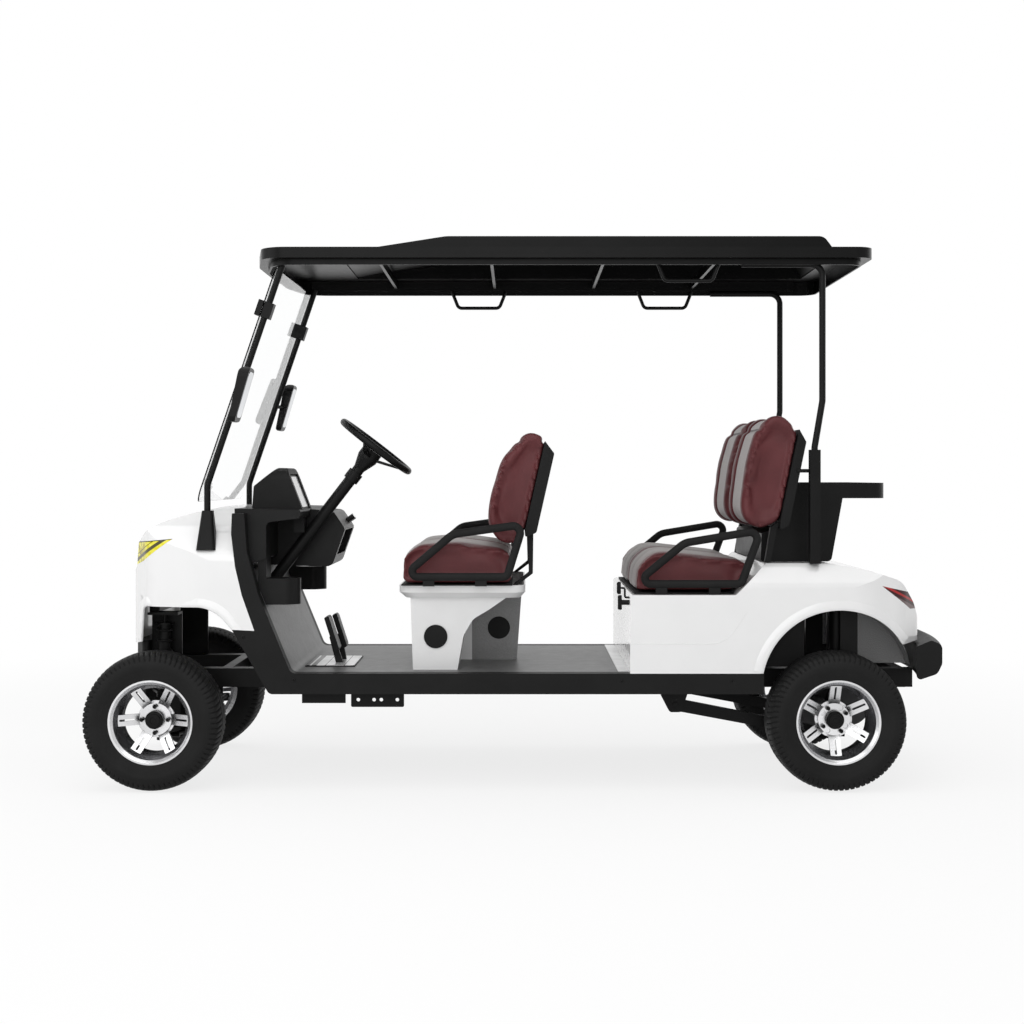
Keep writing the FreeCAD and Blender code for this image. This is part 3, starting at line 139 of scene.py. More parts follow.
class Graph:
    """The node tree of a material or of the world."""

    def __init__(self, owner: bpy.types.Material | bpy.types.World) -> None:
        """Empties the owner's tree."""
        owner.use_nodes = True
        self.owner = owner
        self.tree = owner.node_tree
        self.tree.nodes.clear()

    @cached_property
    def place(self) -> Term:
        """The shaded point, in metres."""
        return self.node("ShaderNodeTexCoord", output="Object")

    def node(self, kind: str, settings: dict | None = None, inputs: dict | None = None, output: int | str = 0) -> Term:
        """Adds a node of any type.

        Args:
            kind: the node's type.
            settings: its own settings, set first.
            inputs: a value or a Term for each named or numbered socket.
            output: the socket that the Term wraps.

        Returns:
            The chosen output.
        """
        made = self.tree.nodes.new(kind)
        for key, value in (settings or {}).items():
            setattr(made, key, value)
        for key, value in (inputs or {}).items():
            if isinstance(value, Term):
                self.tree.links.new(value.socket, made.inputs[key])
            else:
                made.inputs[key].default_value = value
        return Term(self, made.outputs[output])

    def axes(self) -> tuple[Term, Term, Term]:
        """The x, y and z of the shaded point, in metres."""
        split = self.node("ShaderNodeSeparateXYZ", inputs={0: self.place})
        return tuple(Term(self, out) for out in split.socket.node.outputs)

    def noise(self, size: float, detail: float = 3.0) -> Term:
        """Soft noise from 0 to 1 whose patches are about size metres across."""
        return self.node("ShaderNodeTexNoise", inputs={"Vector": self.place, "Scale": 1.0 / size, "Detail": detail})

    def cells(self, size: float) -> Term:
        """Distance to the nearest of scattered points, whose cells are about size metres across."""
        return self.node("ShaderNodeTexVoronoi", inputs={"Vector": self.place, "Scale": 1.0 / size})

    def blend(self, share: Term | float, first: Term | Colour, second: Term | Colour) -> Term:
        """A colour between two colours."""
        colours = [c if isinstance(c, Term) else (*c, 1.0) for c in (first, second)]
        return self.node("ShaderNodeMix", {"data_type": "RGBA"}, {0: share, 6: colours[0], 7: colours[1]}, 2)

    def specks(self, colour: Colour, size: float, span: tuple[float, float], shades: tuple[float, float]) -> Term:
        """A colour broken up by dark and light specks.

        Args:
            colour: the colour between them.
            size: the specks' size in metres.
            span: the noise that gives the dark and the light shade.
            shades: what the colour is multiplied by in the dark and in the light.

        Returns:
            The speckled colour.
        """
        dark, light = (tuple(c * shade for c in colour) for shade in shades)
        return self.blend(self.noise(size, 2.0).ramp(*span), dark, light)

    def facing(self, axis: int) -> Term:
        """How far the surface looks along an axis: 0, 1 or 2."""
        normal = self.node("ShaderNodeTexCoord", output="Normal")
        return self.node("ShaderNodeSeparateXYZ", inputs={0: normal}, output=axis)

    def relief(self, height: Term, depth: float) -> Term:
        """Bumps of that depth in metres."""
        return self.node("ShaderNodeBump", inputs={"Strength": 1.0, "Distance": depth, "Height": height})

    def finish(self, **sockets: Term | float | tuple) -> bpy.types.Material:
        """Ends the tree with a Principled surface.

        Args:
            **sockets: values for the surface's sockets, with _ for a space in a name.

        Returns:
            The material.
        """
        named = {key.replace("_", " "): value for key, value in sockets.items()}
        surface = self.node("ShaderNodeBsdfPrincipled", inputs=named)
        self.node_output(surface)
        return self.owner

    def node_output(self, surface: Term, kind: str = "ShaderNodeOutputMaterial") -> None:
        """Joins a shader to the tree's output, which is of that kind."""
        out = self.tree.nodes.new(kind)
        self.tree.links.new(surface.socket, out.inputs["Surface"])


# Finishes


@dataclass(frozen=True)
class Finish:
    """A moulded, painted or bare surface with a fine grain.

    patch is the size of its faint mottling, grain and depth the size and height of its fine bumps.
    """

    name: str
    colour: Colour
    roughness: float
    metallic: float = 0.0
    coat: float = 0.0
    grain: float = 0.002
    depth: float = 0.0001
    patch: float = 0.15
    mottle: float = 0.12
    shine: float = 0.5

    def tint(self, graph: Graph) -> Term:
        """Its colour, a little darker and lighter in soft patches."""
        dark = tuple(c * (1 - self.mottle) for c in self.colour)
        light = tuple(min(1.0, c * (1 + self.mottle)) for c in self.colour)
        return graph.blend(graph.noise(self.patch).ramp(0.3, 0.7), dark, light)

    def rough(self, graph: Graph) -> Term:
        """Its roughness, varied by fine rubbing marks."""
        return graph.noise(self.patch * 0.3, 6.0) * (self.roughness * 0.3) + self.roughness * 0.85

    def height(self, graph: Graph) -> Term:
        """Its fine grain."""
        return graph.noise(self.grain, 4.0)

    def material(self) -> bpy.types.Material:
        """The material made from these values."""
        graph = Graph(bpy.data.materials.new(self.name))
        return graph.finish(
            Base_Color=self.tint(graph),
            Roughness=self.rough(graph),
            Metallic=self.metallic,
            Coat_Weight=self.coat,
            Coat_Roughness=0.06,
            Specular_IOR_Level=self.shine,
            Normal=graph.relief(self.height(graph), self.depth),
        )


@dataclass(frozen=True)
class Pebbled(Finish):
    """Moulded plastic with the cell-like grain of a car's trim."""

    def height(self, graph: Graph) -> Term:
        """Rounded cells with fine noise on them."""
        return graph.cells(self.grain) + graph.noise(self.grain * 0.5) * 0.4


@dataclass(frozen=True)
class Pod(Finish):
    """White pod whose middle spine is speckled grey."""

    spine: Colour = (0.19, 0.19, 0.19)
    spine_half_width: float = 0.0712
    spine_front_x: float = -0.2

    def tint(self, graph: Graph) -> Term:
        """White, with the spine's grey between its two sides."""
        x, y, _ = graph.axes()
        grey = graph.specks(self.spine, 0.0012, (0.3, 0.75), (0.6, 1.35))
        inside = (abs(y) < self.spine_half_width) * (x > self.spine_front_x)
        return graph.blend(inside, super().tint(graph), grey)


@dataclass(frozen=True)
class Matting(Finish):
    """Rubber mat with ribs that run rearwards along the floor and up the toe board."""

    pitch: float = 0.011

    def height(self, graph: Graph) -> Term:
        """Rounded ribs one pitch apart, with the rubber's grain."""
        _, y, _ = graph.axes()
        ribs = (y * (2 * math.pi / self.pitch)).sine().ramp(-0.4, 0.6)
        return ribs * 0.8 + graph.noise(self.grain) * 0.2


@dataclass(frozen=True)
class Alloy(Finish):
    """Rim metal: turned bright on its outer faces, with painted shade as a darker grey in its barrel and windows."""

    # barrel is the darker grey of painted shade inside the barrel and windows; the turned faces keep the metal's own
    # colour
    barrel: Colour = (0.28, 0.28, 0.29)
    lip_radius: float = 0.1535
    lathe_rings: float = 9000.0

    def axle_distance(self, graph: Graph) -> Term:
        """Distance from the nearest axle's line."""
        x, _, z = graph.axes()
        along = abs(x - FRONT_AXLE_X).smaller(abs(x - REAR_AXLE_X))
        up = z - WHEEL_Z
        return (along * along + up * up).root()

    def tint(self, graph: Graph) -> Term:
        """Bright on the lip and where the face looks outwards, darker elsewhere as painted shade inside the rim."""
        side = abs(graph.facing(1))
        turned_unshaded_faces = (side.ramp(0.35, 0.8) + (self.axle_distance(graph) > self.lip_radius)).smaller(1.0)
        return graph.blend(turned_unshaded_faces, self.barrel, super().tint(graph))

    def height(self, graph: Graph) -> Term:
        """Fine rings left by the lathe."""
        return (self.axle_distance(graph) * self.lathe_rings).sine() * 0.3 + graph.noise(self.grain) * 0.7


@dataclass(frozen=True)
class Fascia(Pebbled):
    """Black dash moulding whose panel facing the seats is silver grey."""

    panel: Colour = (0.24, 0.24, 0.24)
    panel_half_width: float = 0.186
    panel_front_x: float = -0.8

    def tint(self, graph: Graph) -> Term:
        """Grey where the middle of the dash looks rearwards, black elsewhere."""
        x, y, _ = graph.axes()
        zone = (x > self.panel_front_x) * (abs(y) < self.panel_half_width) * graph.facing(0).ramp(0.3, 0.4)
        return graph.blend(zone, super().tint(graph), self.panel)


@dataclass(frozen=True)
class Liner(Finish):
    """Arch liner: plain black ahead of the axle and speckled grey behind it."""

    speckle: Colour = (0.17, 0.17, 0.17)
    speckle_x: float = 1.33

    def tint(self, graph: Graph) -> Term:
        """Black, with a grey of light and dark specks on the rear part."""
        x, _, _ = graph.axes()
        grey = graph.specks(self.speckle, 0.003, (0.35, 0.7), (0.5, 1.7))
        return graph.blend(x > self.speckle_x, super().tint(graph), grey)


@dataclass(frozen=True)
class Brushed(Finish):
    """Bright plate brushed along X."""

    def height(self, graph: Graph) -> Term:
        """Long fine scratches."""
        stretched = graph.node("ShaderNodeMapping", inputs={"Vector": graph.place, "Scale": (4.0, 900.0, 900.0)})
        return graph.node("ShaderNodeTexNoise", inputs={"Vector": stretched, "Scale": 1.0, "Detail": 2.0})


@dataclass(frozen=True)
class Striped(Brushed):
    """Bright plate with a dark rubber strip ahead and fine dark lines across it."""

    strip_x: float = -0.812
    bright_line_x: float = -0.835
    bright_line_half: float = 0.004
    dark_lines_x: tuple[float, ...] = (-0.776, -0.701)
    dark_line_half: float = 0.0016

    def tint(self, graph: Graph) -> Term:
        """Metal, with the dark strip, its bright line and the dark lines."""
        x, _, _ = graph.axes()
        dark = (x < self.strip_x) * (abs(x - self.bright_line_x) > self.bright_line_half)
        for line_x in self.dark_lines_x:
            dark = dark + (abs(x - line_x) < self.dark_line_half)
        return graph.blend(dark.smaller(1.0), super().tint(graph), (0.01, 0.01, 0.01))


@dataclass(frozen=True)
class Hide(Finish):
    """Grained seat covering in two tones, with dark sewn lines.

    middle is how far from the cart's middle plane an insert's own middle is, insert its half width,
    and seam the half width of a sewn line. A head seam crosses the insert at head_z where it is set.
    The insert shows where the pad looks forward or up by at least shown.
    """

    insert_colour: Colour = (0.42, 0.385, 0.375)
    middle: float = 0.25
    insert: float = 0.15
    seam: float = 0.003
    head_z: float = 0.0
    shown: float = 0.22

    def lines(self, graph: Graph) -> tuple[Term, Term]:
        """Mask of the insert on the front and top, and of the sewn lines beside and across it."""
        _, y, z = graph.axes()
        shown = (0.0 - graph.facing(0)).larger(graph.facing(2)) > self.shown
        across = abs(abs(y) - self.middle)
        inside = (across < self.insert) * shown
        sewn = (abs(across - self.insert) < self.seam) * shown
        if self.head_z:
            sewn = sewn + (abs(z - self.head_z) < self.seam * 1.5) * inside
        return inside, sewn.smaller(1.0)

    def tint(self, graph: Graph) -> Term:
        """The side colour, the insert's colour between its seams, and near black in a sewn line."""
        inside, sewn = self.lines(graph)
        two_tone = graph.blend(inside, super().tint(graph), self.insert_colour)
        creased = graph.blend(graph.cells(0.004).ramp(0.0, 0.5) * 0.18, two_tone, (0.02, 0.01, 0.01))
        return graph.blend(sewn, creased, (0.02, 0.006, 0.006))

    def height(self, graph: Graph) -> Term:
        """Fine cells of hide grain."""
        return graph.cells(self.grain).ramp(0.1, 0.6) + graph.noise(self.grain * 3.0) * 0.5


@dataclass(frozen=True)
class Pane(Finish):
    """Clear or tinted glass."""

    see_through: float = 1.0

    def material(self) -> bpy.types.Material:
        """Glass with the faintest waviness."""
        graph = Graph(bpy.data.materials.new(self.name))
        return graph.finish(
            Base_Color=self.tint(graph),
            Roughness=self.roughness,
            Transmission_Weight=self.see_through,
            IOR=1.2,
            Normal=graph.relief(graph.noise(0.2), 0.00005),
        )


@dataclass(frozen=True)
class HeadLens(Finish):
    """Yellow lamp whose bright bowl behind a clear cover is shown as soft brighter patches of painted reflection,
    crossed by a dark band that rises rearwards.

    The band and the thin line above it rise by slope and cross x = 0 at band_z and line_z, and the black
    rim rises by rim_slope from rim_z there. Facets are dark ribs, so many radians a metre.
    """

    slope: float = 0.62
    band_z: float = 1.818
    line_z: float = 1.84
    rim_slope: float = 0.11
    rim_z: float = 1.1125
    facets: float = 160.0
    deep: Colour = (0.42, 0.33, 0.006)
    glow: Colour = (0.86, 0.8, 0.09)
    # glow is the bright yellow of the painted reflection from the lamp's bowl
    smoke: Colour = (0.075, 0.07, 0.03)
    black: Colour = (0.015, 0.014, 0.004)

    def tint(self, graph: Graph) -> Term:
        """Yellow, golden towards the nose, with soft patches of painted reflection from the bowl, the facets, the
        band, the line and the rim.
        """
        x, _, z = graph.axes()
        rise = z - x * self.slope
        band = abs(rise - self.band_z).ramp(0.008, 0.0065)
        line = abs(rise - self.line_z).ramp(0.0018, 0.001)
        ribs = abs(((x + z * 0.35) * self.facets).sine()).ramp(0.35, 0.15) * x.ramp(-1.46, -1.475)
        rim = (z - x * self.rim_slope).ramp(self.rim_z, self.rim_z + 0.001)
        gold = graph.blend(x.ramp(-1.49, -1.44), self.deep, self.colour)
        # painted reflection: soft patches of the glow yellow stand for the lit bowl behind the cover
        lit = graph.blend(graph.noise(0.02, 2.0).ramp(0.4, 0.6), gold, self.glow)
        smoked = graph.blend((band + ribs * 0.8).smaller(1.0), lit, self.smoke)
        return graph.blend((line + rim).smaller(1.0), smoked, self.black)


@dataclass(frozen=True)
class TailLens(Finish):
    """Tail lamp: dark red above, a pale clear strip along its lower rear edge.

    The strip starts on a line that falls by slope and crosses x = 0 at strip_z. Lines are radians a metre.
    """

    slope: float = 0.483
    strip_z: float = 1.4475
    lines: float = 160.0
    bright: Colour = (0.42, 0.02, 0.02)
    pale: Colour = (0.16, 0.11, 0.11)

    def tint(self, graph: Graph) -> Term:
        """Dark red with brighter lines, and smoked clear below it."""
        x, _, z = graph.axes()
        drop = z + x * self.slope
        red = graph.blend((drop * self.lines).sine().ramp(0.6, 0.9), self.colour, self.bright)
        return graph.blend(drop.ramp(self.strip_z, self.strip_z - 0.005), red, self.pale)


def covering(name: str, middle: float, insert: float, head_z: float = 0.0) -> Hide:
    """Burgundy hide whose inserts stand at middle, insert to each side."""
    return Hide(name, (0.118, 0.027, 0.03), 0.42, grain=0.0022, depth=0.00025, shine=0.22, middle=middle,
                insert=insert, head_z=head_z)


class Paint(Enum):
    """The finishes of the cart."""

    WHITE = Finish("white_lacquer", (0.83, 0.83, 0.83), 0.24, coat=0.7, grain=0.05, depth=0.000002, mottle=0.01)
    POD = Pod("pod_white", (0.8, 0.8, 0.8), 0.3, coat=0.4, grain=0.003, depth=0.00004, mottle=0.02)
    TRIM = Pebbled("pebbled_trim", (0.009, 0.009, 0.009), 0.5, grain=0.0016, depth=0.0001, shine=0.12)
    SATIN = Pebbled("satin_black", (0.006, 0.006, 0.006), 0.34, grain=0.0014, depth=0.00008, shine=0.12)
    STEEL = Finish("powder_coat", (0.006, 0.006, 0.006), 0.4, grain=0.0012, depth=0.0001, shine=0.12)
    ROOF = Finish("roof_moulding", (0.005, 0.005, 0.005), 0.3, grain=0.003, depth=0.00004, shine=0.1)
    DASH = Fascia("dash_moulding", (0.011, 0.011, 0.011), 0.42, grain=0.0016, depth=0.00015, shine=0.12)
    LINER = Liner("arch_liner", (0.006, 0.006, 0.006), 0.55, grain=0.002, depth=0.0002, shine=0.2)
    ARMREST = Pebbled("armrest_foam", (0.016, 0.016, 0.016), 0.62, grain=0.0018, depth=0.0002, shine=0.08)
    MAT = Matting("ribbed_mat", (0.1, 0.1, 0.1), 0.4, grain=0.002, depth=0.0004, shine=0.5)
    ALLOY = Alloy("rim_alloy", (0.72, 0.72, 0.73), 0.26, metallic=1.0, grain=0.002, depth=0.00002)
    RUBBER = Finish("tread_rubber", (0.013, 0.013, 0.013), 0.6, grain=0.0015, depth=0.0001, shine=0.1)
    PLATE = Brushed("brushed_plate", (0.72, 0.72, 0.72), 0.34, metallic=0.9, depth=0.00005)
    STRIPED = Striped("striped_plate", (0.78, 0.78, 0.78), 0.3, metallic=0.5, depth=0.00005)
    CHROME = Finish("chrome", (0.8, 0.8, 0.8), 0.12, metallic=1.0, depth=0.00001)
    TREADLE = Pebbled("pedal_rubber", (0.3, 0.3, 0.3), 0.5, grain=0.004, depth=0.0008)
    GREY = Finish("painted_casting", (0.05, 0.05, 0.052), 0.5, grain=0.004, depth=0.0004)
    CASE = Pebbled("case_moulding", (0.03, 0.03, 0.033), 0.5)
    GLASS = Pane("screen_glass", (0.985, 0.99, 0.99), 0.0, mottle=0.0)
    HEAD = HeadLens("yellow_lamp", (0.75, 0.66, 0.006), 0.15, coat=0.1, depth=0.00001, shine=0.25)
    TAIL = TailLens("red_lamp", (0.035, 0.003, 0.004), 0.15, coat=0.1, depth=0.00001, shine=0.25)
    MIRROR = Finish("mirror_glass", (0.6, 0.62, 0.64), 0.03, metallic=1.0, depth=0.0)
    SCREEN = Finish("screen", (0.62, 0.63, 0.64), 0.18, coat=0.6, depth=0.00001, mottle=0.04)
    # painted shade: a flat grey that stands for the shade inside the nose's hollow
    PAINTED_HOLLOW_SHADE = Finish("lacquer_in_shade", (0.42, 0.42, 0.42), 0.35, depth=0.00002, mottle=0.06, shine=0.3)
    BENCH = covering("bench_hide", 0.24, 0.155)
    FRONT_BACK = covering("front_back_hide", 0.265, 0.13, 1.345)
    REAR_BACK = covering("rear_back_hide", 0.265, 0.13, 1.392)

    @cache
    def material(self) -> bpy.types.Material:
        """The finish's material, made once."""
        return self.value.material()


# Shapes worked out on grids


def grid_faces(rows: int, columns: int, wrap_rows: bool) -> Array:
    """Four-sided faces between neighbours of a grid of points kept row by row, each row a ring.

    Args:
        rows: how many rows of points there are.
        columns: how many points a row has.
        wrap_rows: joins the last row to the first.

    Returns:
        An array of faces by four point numbers.
    """
    i, j = np.meshgrid(np.arange(rows if wrap_rows else rows - 1), np.arange(columns), indexing="ij")
    below, right = (i + 1) % rows, (j + 1) % columns
    corners = [i * columns + j, below * columns + j, below * columns + right, i * columns + right]
    return np.stack(corners, -1).reshape(-1, 4)


@dataclass
class Skin:
    """The points and faces of one piece, gathered from grids."""

    points: list[Array] = field(default_factory=list)
    faces: list[list[int]] = field(default_factory=list)
    count: int = 0

    def add(self, grid: Array, wrap_rows: bool = False) -> "Skin":
        """Adds a grid whose rows are rings, rows by columns by three.

        Args:
            grid: the points.
            wrap_rows: the last row meets the first. Otherwise a fan to its middle closes each end row.

        Returns:
            The skin itself.
        """
        base = self.count
        rows, columns = grid.shape[:2]
        self.faces += (grid_faces(rows, columns, wrap_rows) + base).tolist()
        self.points.append(grid.reshape(-1, 3))
        self.count += rows * columns
        if not wrap_rows:
            around = np.arange(columns)
            for row, turn in ((0, 1), (rows - 1, -1)):
                fan = np.stack([np.roll(around, -turn), around, around], -1) + base + row * columns
                fan[:, 2] = self.count
                self.faces += fan.tolist()
                self.points.append(grid[row].mean(0)[None])
                self.count += 1
        return self

    def add_both(self, grid: Array) -> "Skin":
        """Adds a grid and its mirror image on the cart's other side."""
        return self.add(grid).add(grid * np.array([1.0, -1.0, 1.0]))

    def piece(self, name: str, paint: Paint, slot: str, body: str = "root", crease: float = 35.0) -> bpy.types.Object:
        """Makes the mesh object, its faces turned outwards.

        Args:
            name: the piece's name.
            paint: its finish.
            slot: the name of a material slot; not used.
            body: the body that it rides on.
            crease: the angle in degrees above which an edge shows sharp.

        Returns:
            The object.
        """
        mesh = bpy.data.meshes.new(name)
        mesh.from_pydata(np.concatenate(self.points).tolist(), [], self.faces)
        outward(mesh)
        soften(mesh, crease)
        made = bpy.data.objects.new(name, mesh)
        bpy.context.scene.collection.objects.link(made)
        mesh.materials.append(paint.material())
        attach(made, body)
        log.info("piece %s: %d faces", name, len(mesh.polygons))
        return made


def outward(mesh: bpy.types.Mesh) -> None:
    """Merges doubles and turns every face outwards."""
    work = bmesh.new()
    work.from_mesh(mesh)
    bmesh.ops.remove_doubles(work, verts=work.verts, dist=1e-6)
    bmesh.ops.recalc_face_normals(work, faces=work.faces)
    work.to_mesh(mesh)
    work.free()


def soften(mesh: bpy.types.Mesh, crease: float) -> None:
    """Shades a mesh smooth except over edges sharper than crease degrees."""
    mesh.polygons.foreach_set("use_smooth", np.ones(len(mesh.polygons), bool))
    mesh.set_sharp_from_angle(angle=math.radians(crease))


def unit(vector: Sequence[float]) -> Array:
    """The vector at length one."""
    array = np.asarray(vector, float)
    return array / np.linalg.norm(array, axis=-1, keepdims=True)


def revolved(profile: Sequence[tuple[float, float]], centre: Sequence[float], axis: Sequence[float] = (0, 1, 0),
             steps: int = 40) -> Array:
    """A surface of revolution.

    Point (i, j) is the centre plus the profile's distance i along the axis, plus its radius i times
    a unit vector turned by j of the steps round the axis.

    Args:
        profile: distance along the axis and radius, from one end to the other.
        centre: a point on the axis.
        axis: its direction.
        steps: points round the axis.

    Returns:
        Rows along the profile by columns round the axis.
    """
    along, radius = np.array(profile, float).T
    w = unit(axis)
    u = unit(np.cross(w, (0.3, 0.2, 0.93)))
    v = np.cross(w, u)
    turn = np.linspace(0, 2 * math.pi, steps, endpoint=False)[:, None]
    ring = np.cos(turn) * u + np.sin(turn) * v
    return np.asarray(centre, float) + along[:, None, None] * w + radius[:, None, None] * ring


def bent(corners: Sequence[Sequence[float]], reach: float, steps: int = 6, closed: bool = False) -> Array:
    """A line through straight runs whose corners are parabolas that start reach before each corner.

    A parabola's point at t is (1-t)^2 start + 2t(1-t) corner + t^2 end.

    Args:
        corners: the line's corners.
        reach: how far from a corner its bend starts.
        steps: points in each bend.
        closed: joins the end to the start.

    Returns:
        The line's points.
    """
    points = np.asarray(corners, float)
    before = np.roll(points, 1, 0)
    after = np.roll(points, -1, 0)
    limit = 0.45 * np.minimum(np.linalg.norm(before - points, axis=1), np.linalg.norm(after - points, axis=1))
    span = np.minimum(reach, limit)[:, None]
    start = points + unit(before - points) * span
    end = points + unit(after - points) * span
    t = np.linspace(0, 1, steps)[None, :, None]
    curve = (1 - t) ** 2 * start[:, None] + 2 * t * (1 - t) * points[:, None] + t**2 * end[:, None]
    if closed:
        return curve.reshape(-1, points.shape[1])
    inner = curve[1:-1].reshape(-1, points.shape[1])
    return np.concatenate([points[:1], inner, points[-1:]])


def swept(path: Array, section: Array, up: Sequence[float]) -> Array:
    """A section carried along a path.

    Point (i, j) is path i plus section j's first number times the side vector there, which is square
    to the path and to up, plus its second number times the vector square to both.

    Args:
        path: points of the path.
        section: points of the closed section, side and height.
        up: a vector that the path is never along.

    Returns:
        Rows along the path by columns round the section.
    """
    ahead = unit(np.gradient(path, axis=0))
    side = unit(np.cross(ahead, np.asarray(up, float)))
    height = np.cross(side, ahead)
    return path[:, None] + section[None, :, :1] * side[:, None] + section[None, :, 1:] * height[:, None]


def disc(radius: float, steps: int = 12) -> Array:
    """A round section."""
    turn = np.linspace(0, 2 * math.pi, steps, endpoint=False)
    return np.stack([np.cos(turn) * radius, np.sin(turn) * radius], -1)


def rectangle(width: float, height: float, radius: float) -> Array:
    """A rectangle with rounded corners about the origin."""
    a, b = width / 2, height / 2
    return bent([(-a, -b), (a, -b), (a, b), (-a, b)], radius, 5, closed=True)


def plate(outline: Array, low: float, high: float) -> Array:
    """An upright plate whose side view is the outline, from low to high along Y."""
    return np.stack([np.insert(outline, 1, y, axis=1) for y in (low, high)])


def panel(centre: Sequence[float], across: Sequence[float], up: Sequence[float], outline: Array, thick: float,
          bevel: float = 0.0006) -> Array:
    """A flat piece on a slanted plane, standing out along across times up.

    Args:
        centre: the middle of its back.
        across: the outline's first direction.
        up: its second direction.
        outline: its outline about the centre.
        thick: how far it stands out.
        bevel: how far its front edge is drawn in.

    Returns:
        Three rings, from the back to the front.
    """
    u, v = unit(across), unit(up)
    middle = outline.mean(0)
    inner = middle + (outline - middle) * (1 - bevel / np.abs(outline - middle).max(0))
    stations = [(0.0, outline), (thick - bevel, outline), (thick, inner)]
    place = np.asarray(centre, float)
    return np.stack([place + flat[:, :1] * u + flat[:, 1:] * v + at * np.cross(u, v) for at, flat in stations])


def rear_arc(radius: float, start: float, end: float, steps: int = 48) -> Array:
    """Points in side view round the rear arch's centre, from one angle in degrees to another."""
    turn = np.radians(np.linspace(start, end, steps))
    return np.stack([REAR_ARCH[0] + radius * np.cos(turn), REAR_ARCH[1] + radius * np.sin(turn)], -1)


@dataclass(frozen=True)
class Flank:
    """Where a body's upright side stands, as corners in plan that are rounded off."""

    corners: Outline
    reach: float = 0.048

    def stand(self, x: Array, out: Array | float) -> tuple[Array, Array]:
        """Points at x on the side, moved out square to it.

        The side is y(x); its outward direction is (-dy/dx, 1) at length one.

        Args:
            x: the places along the side.
            out: how far each point stands out.

        Returns:
            x and y of the points.
        """
        line = bent(self.corners, self.reach, 8)
        slope = np.interp(x, line[:, 0], np.gradient(line[:, 1], line[:, 0]))
        size = np.sqrt(1 + slope**2)
        return x - slope / size * out, np.interp(x, line[:, 0], line[:, 1]) + out / size

    def band(self, inner: Array, outer: Array, profile: Array) -> Array:
        """A moulded band along the side between two lines of x and z.

        Args:
            inner: the line where the profile's share is 0.
            outer: the line where it is 1, with as many points.
            profile: the closed section, as share across and distance out.

        Returns:
            Rows along the lines by columns round the section.
        """
        share = profile[None, :, :1]
        flat = inner[:, None] * (1 - share) + outer[:, None] * share
        out = np.broadcast_to(profile[None, :, 1], flat.shape[:2])
        x, y = self.stand(flat[..., 0], out)
        return np.stack([x, y, flat[..., 1]], -1)


REAR_FLANK = Flank(((0.37, BODY_SIDE_Y), (1.33, BODY_SIDE_Y), (1.48, 0.5), (1.569, 0.38)))
NOSE_FLANK = Flank(((-1.569, 0.02), (-1.56, 0.12), (-1.53, 0.33), (-1.44, 0.5), (-1.23, BODY_SIDE_Y),
                    (-1.0, BODY_SIDE_Y)))


def wheels() -> Iterable[tuple[str, float, float]]:
    """Name, x and side of each wheel; side is -1 on the left."""
    for end, x in (("front", FRONT_AXLE_X), ("rear", REAR_AXLE_X)):
        for hand, side in (("left", -1.0), ("right", 1.0)):
            yield f"{end}_{hand}", x, side


# Sub-assemblies


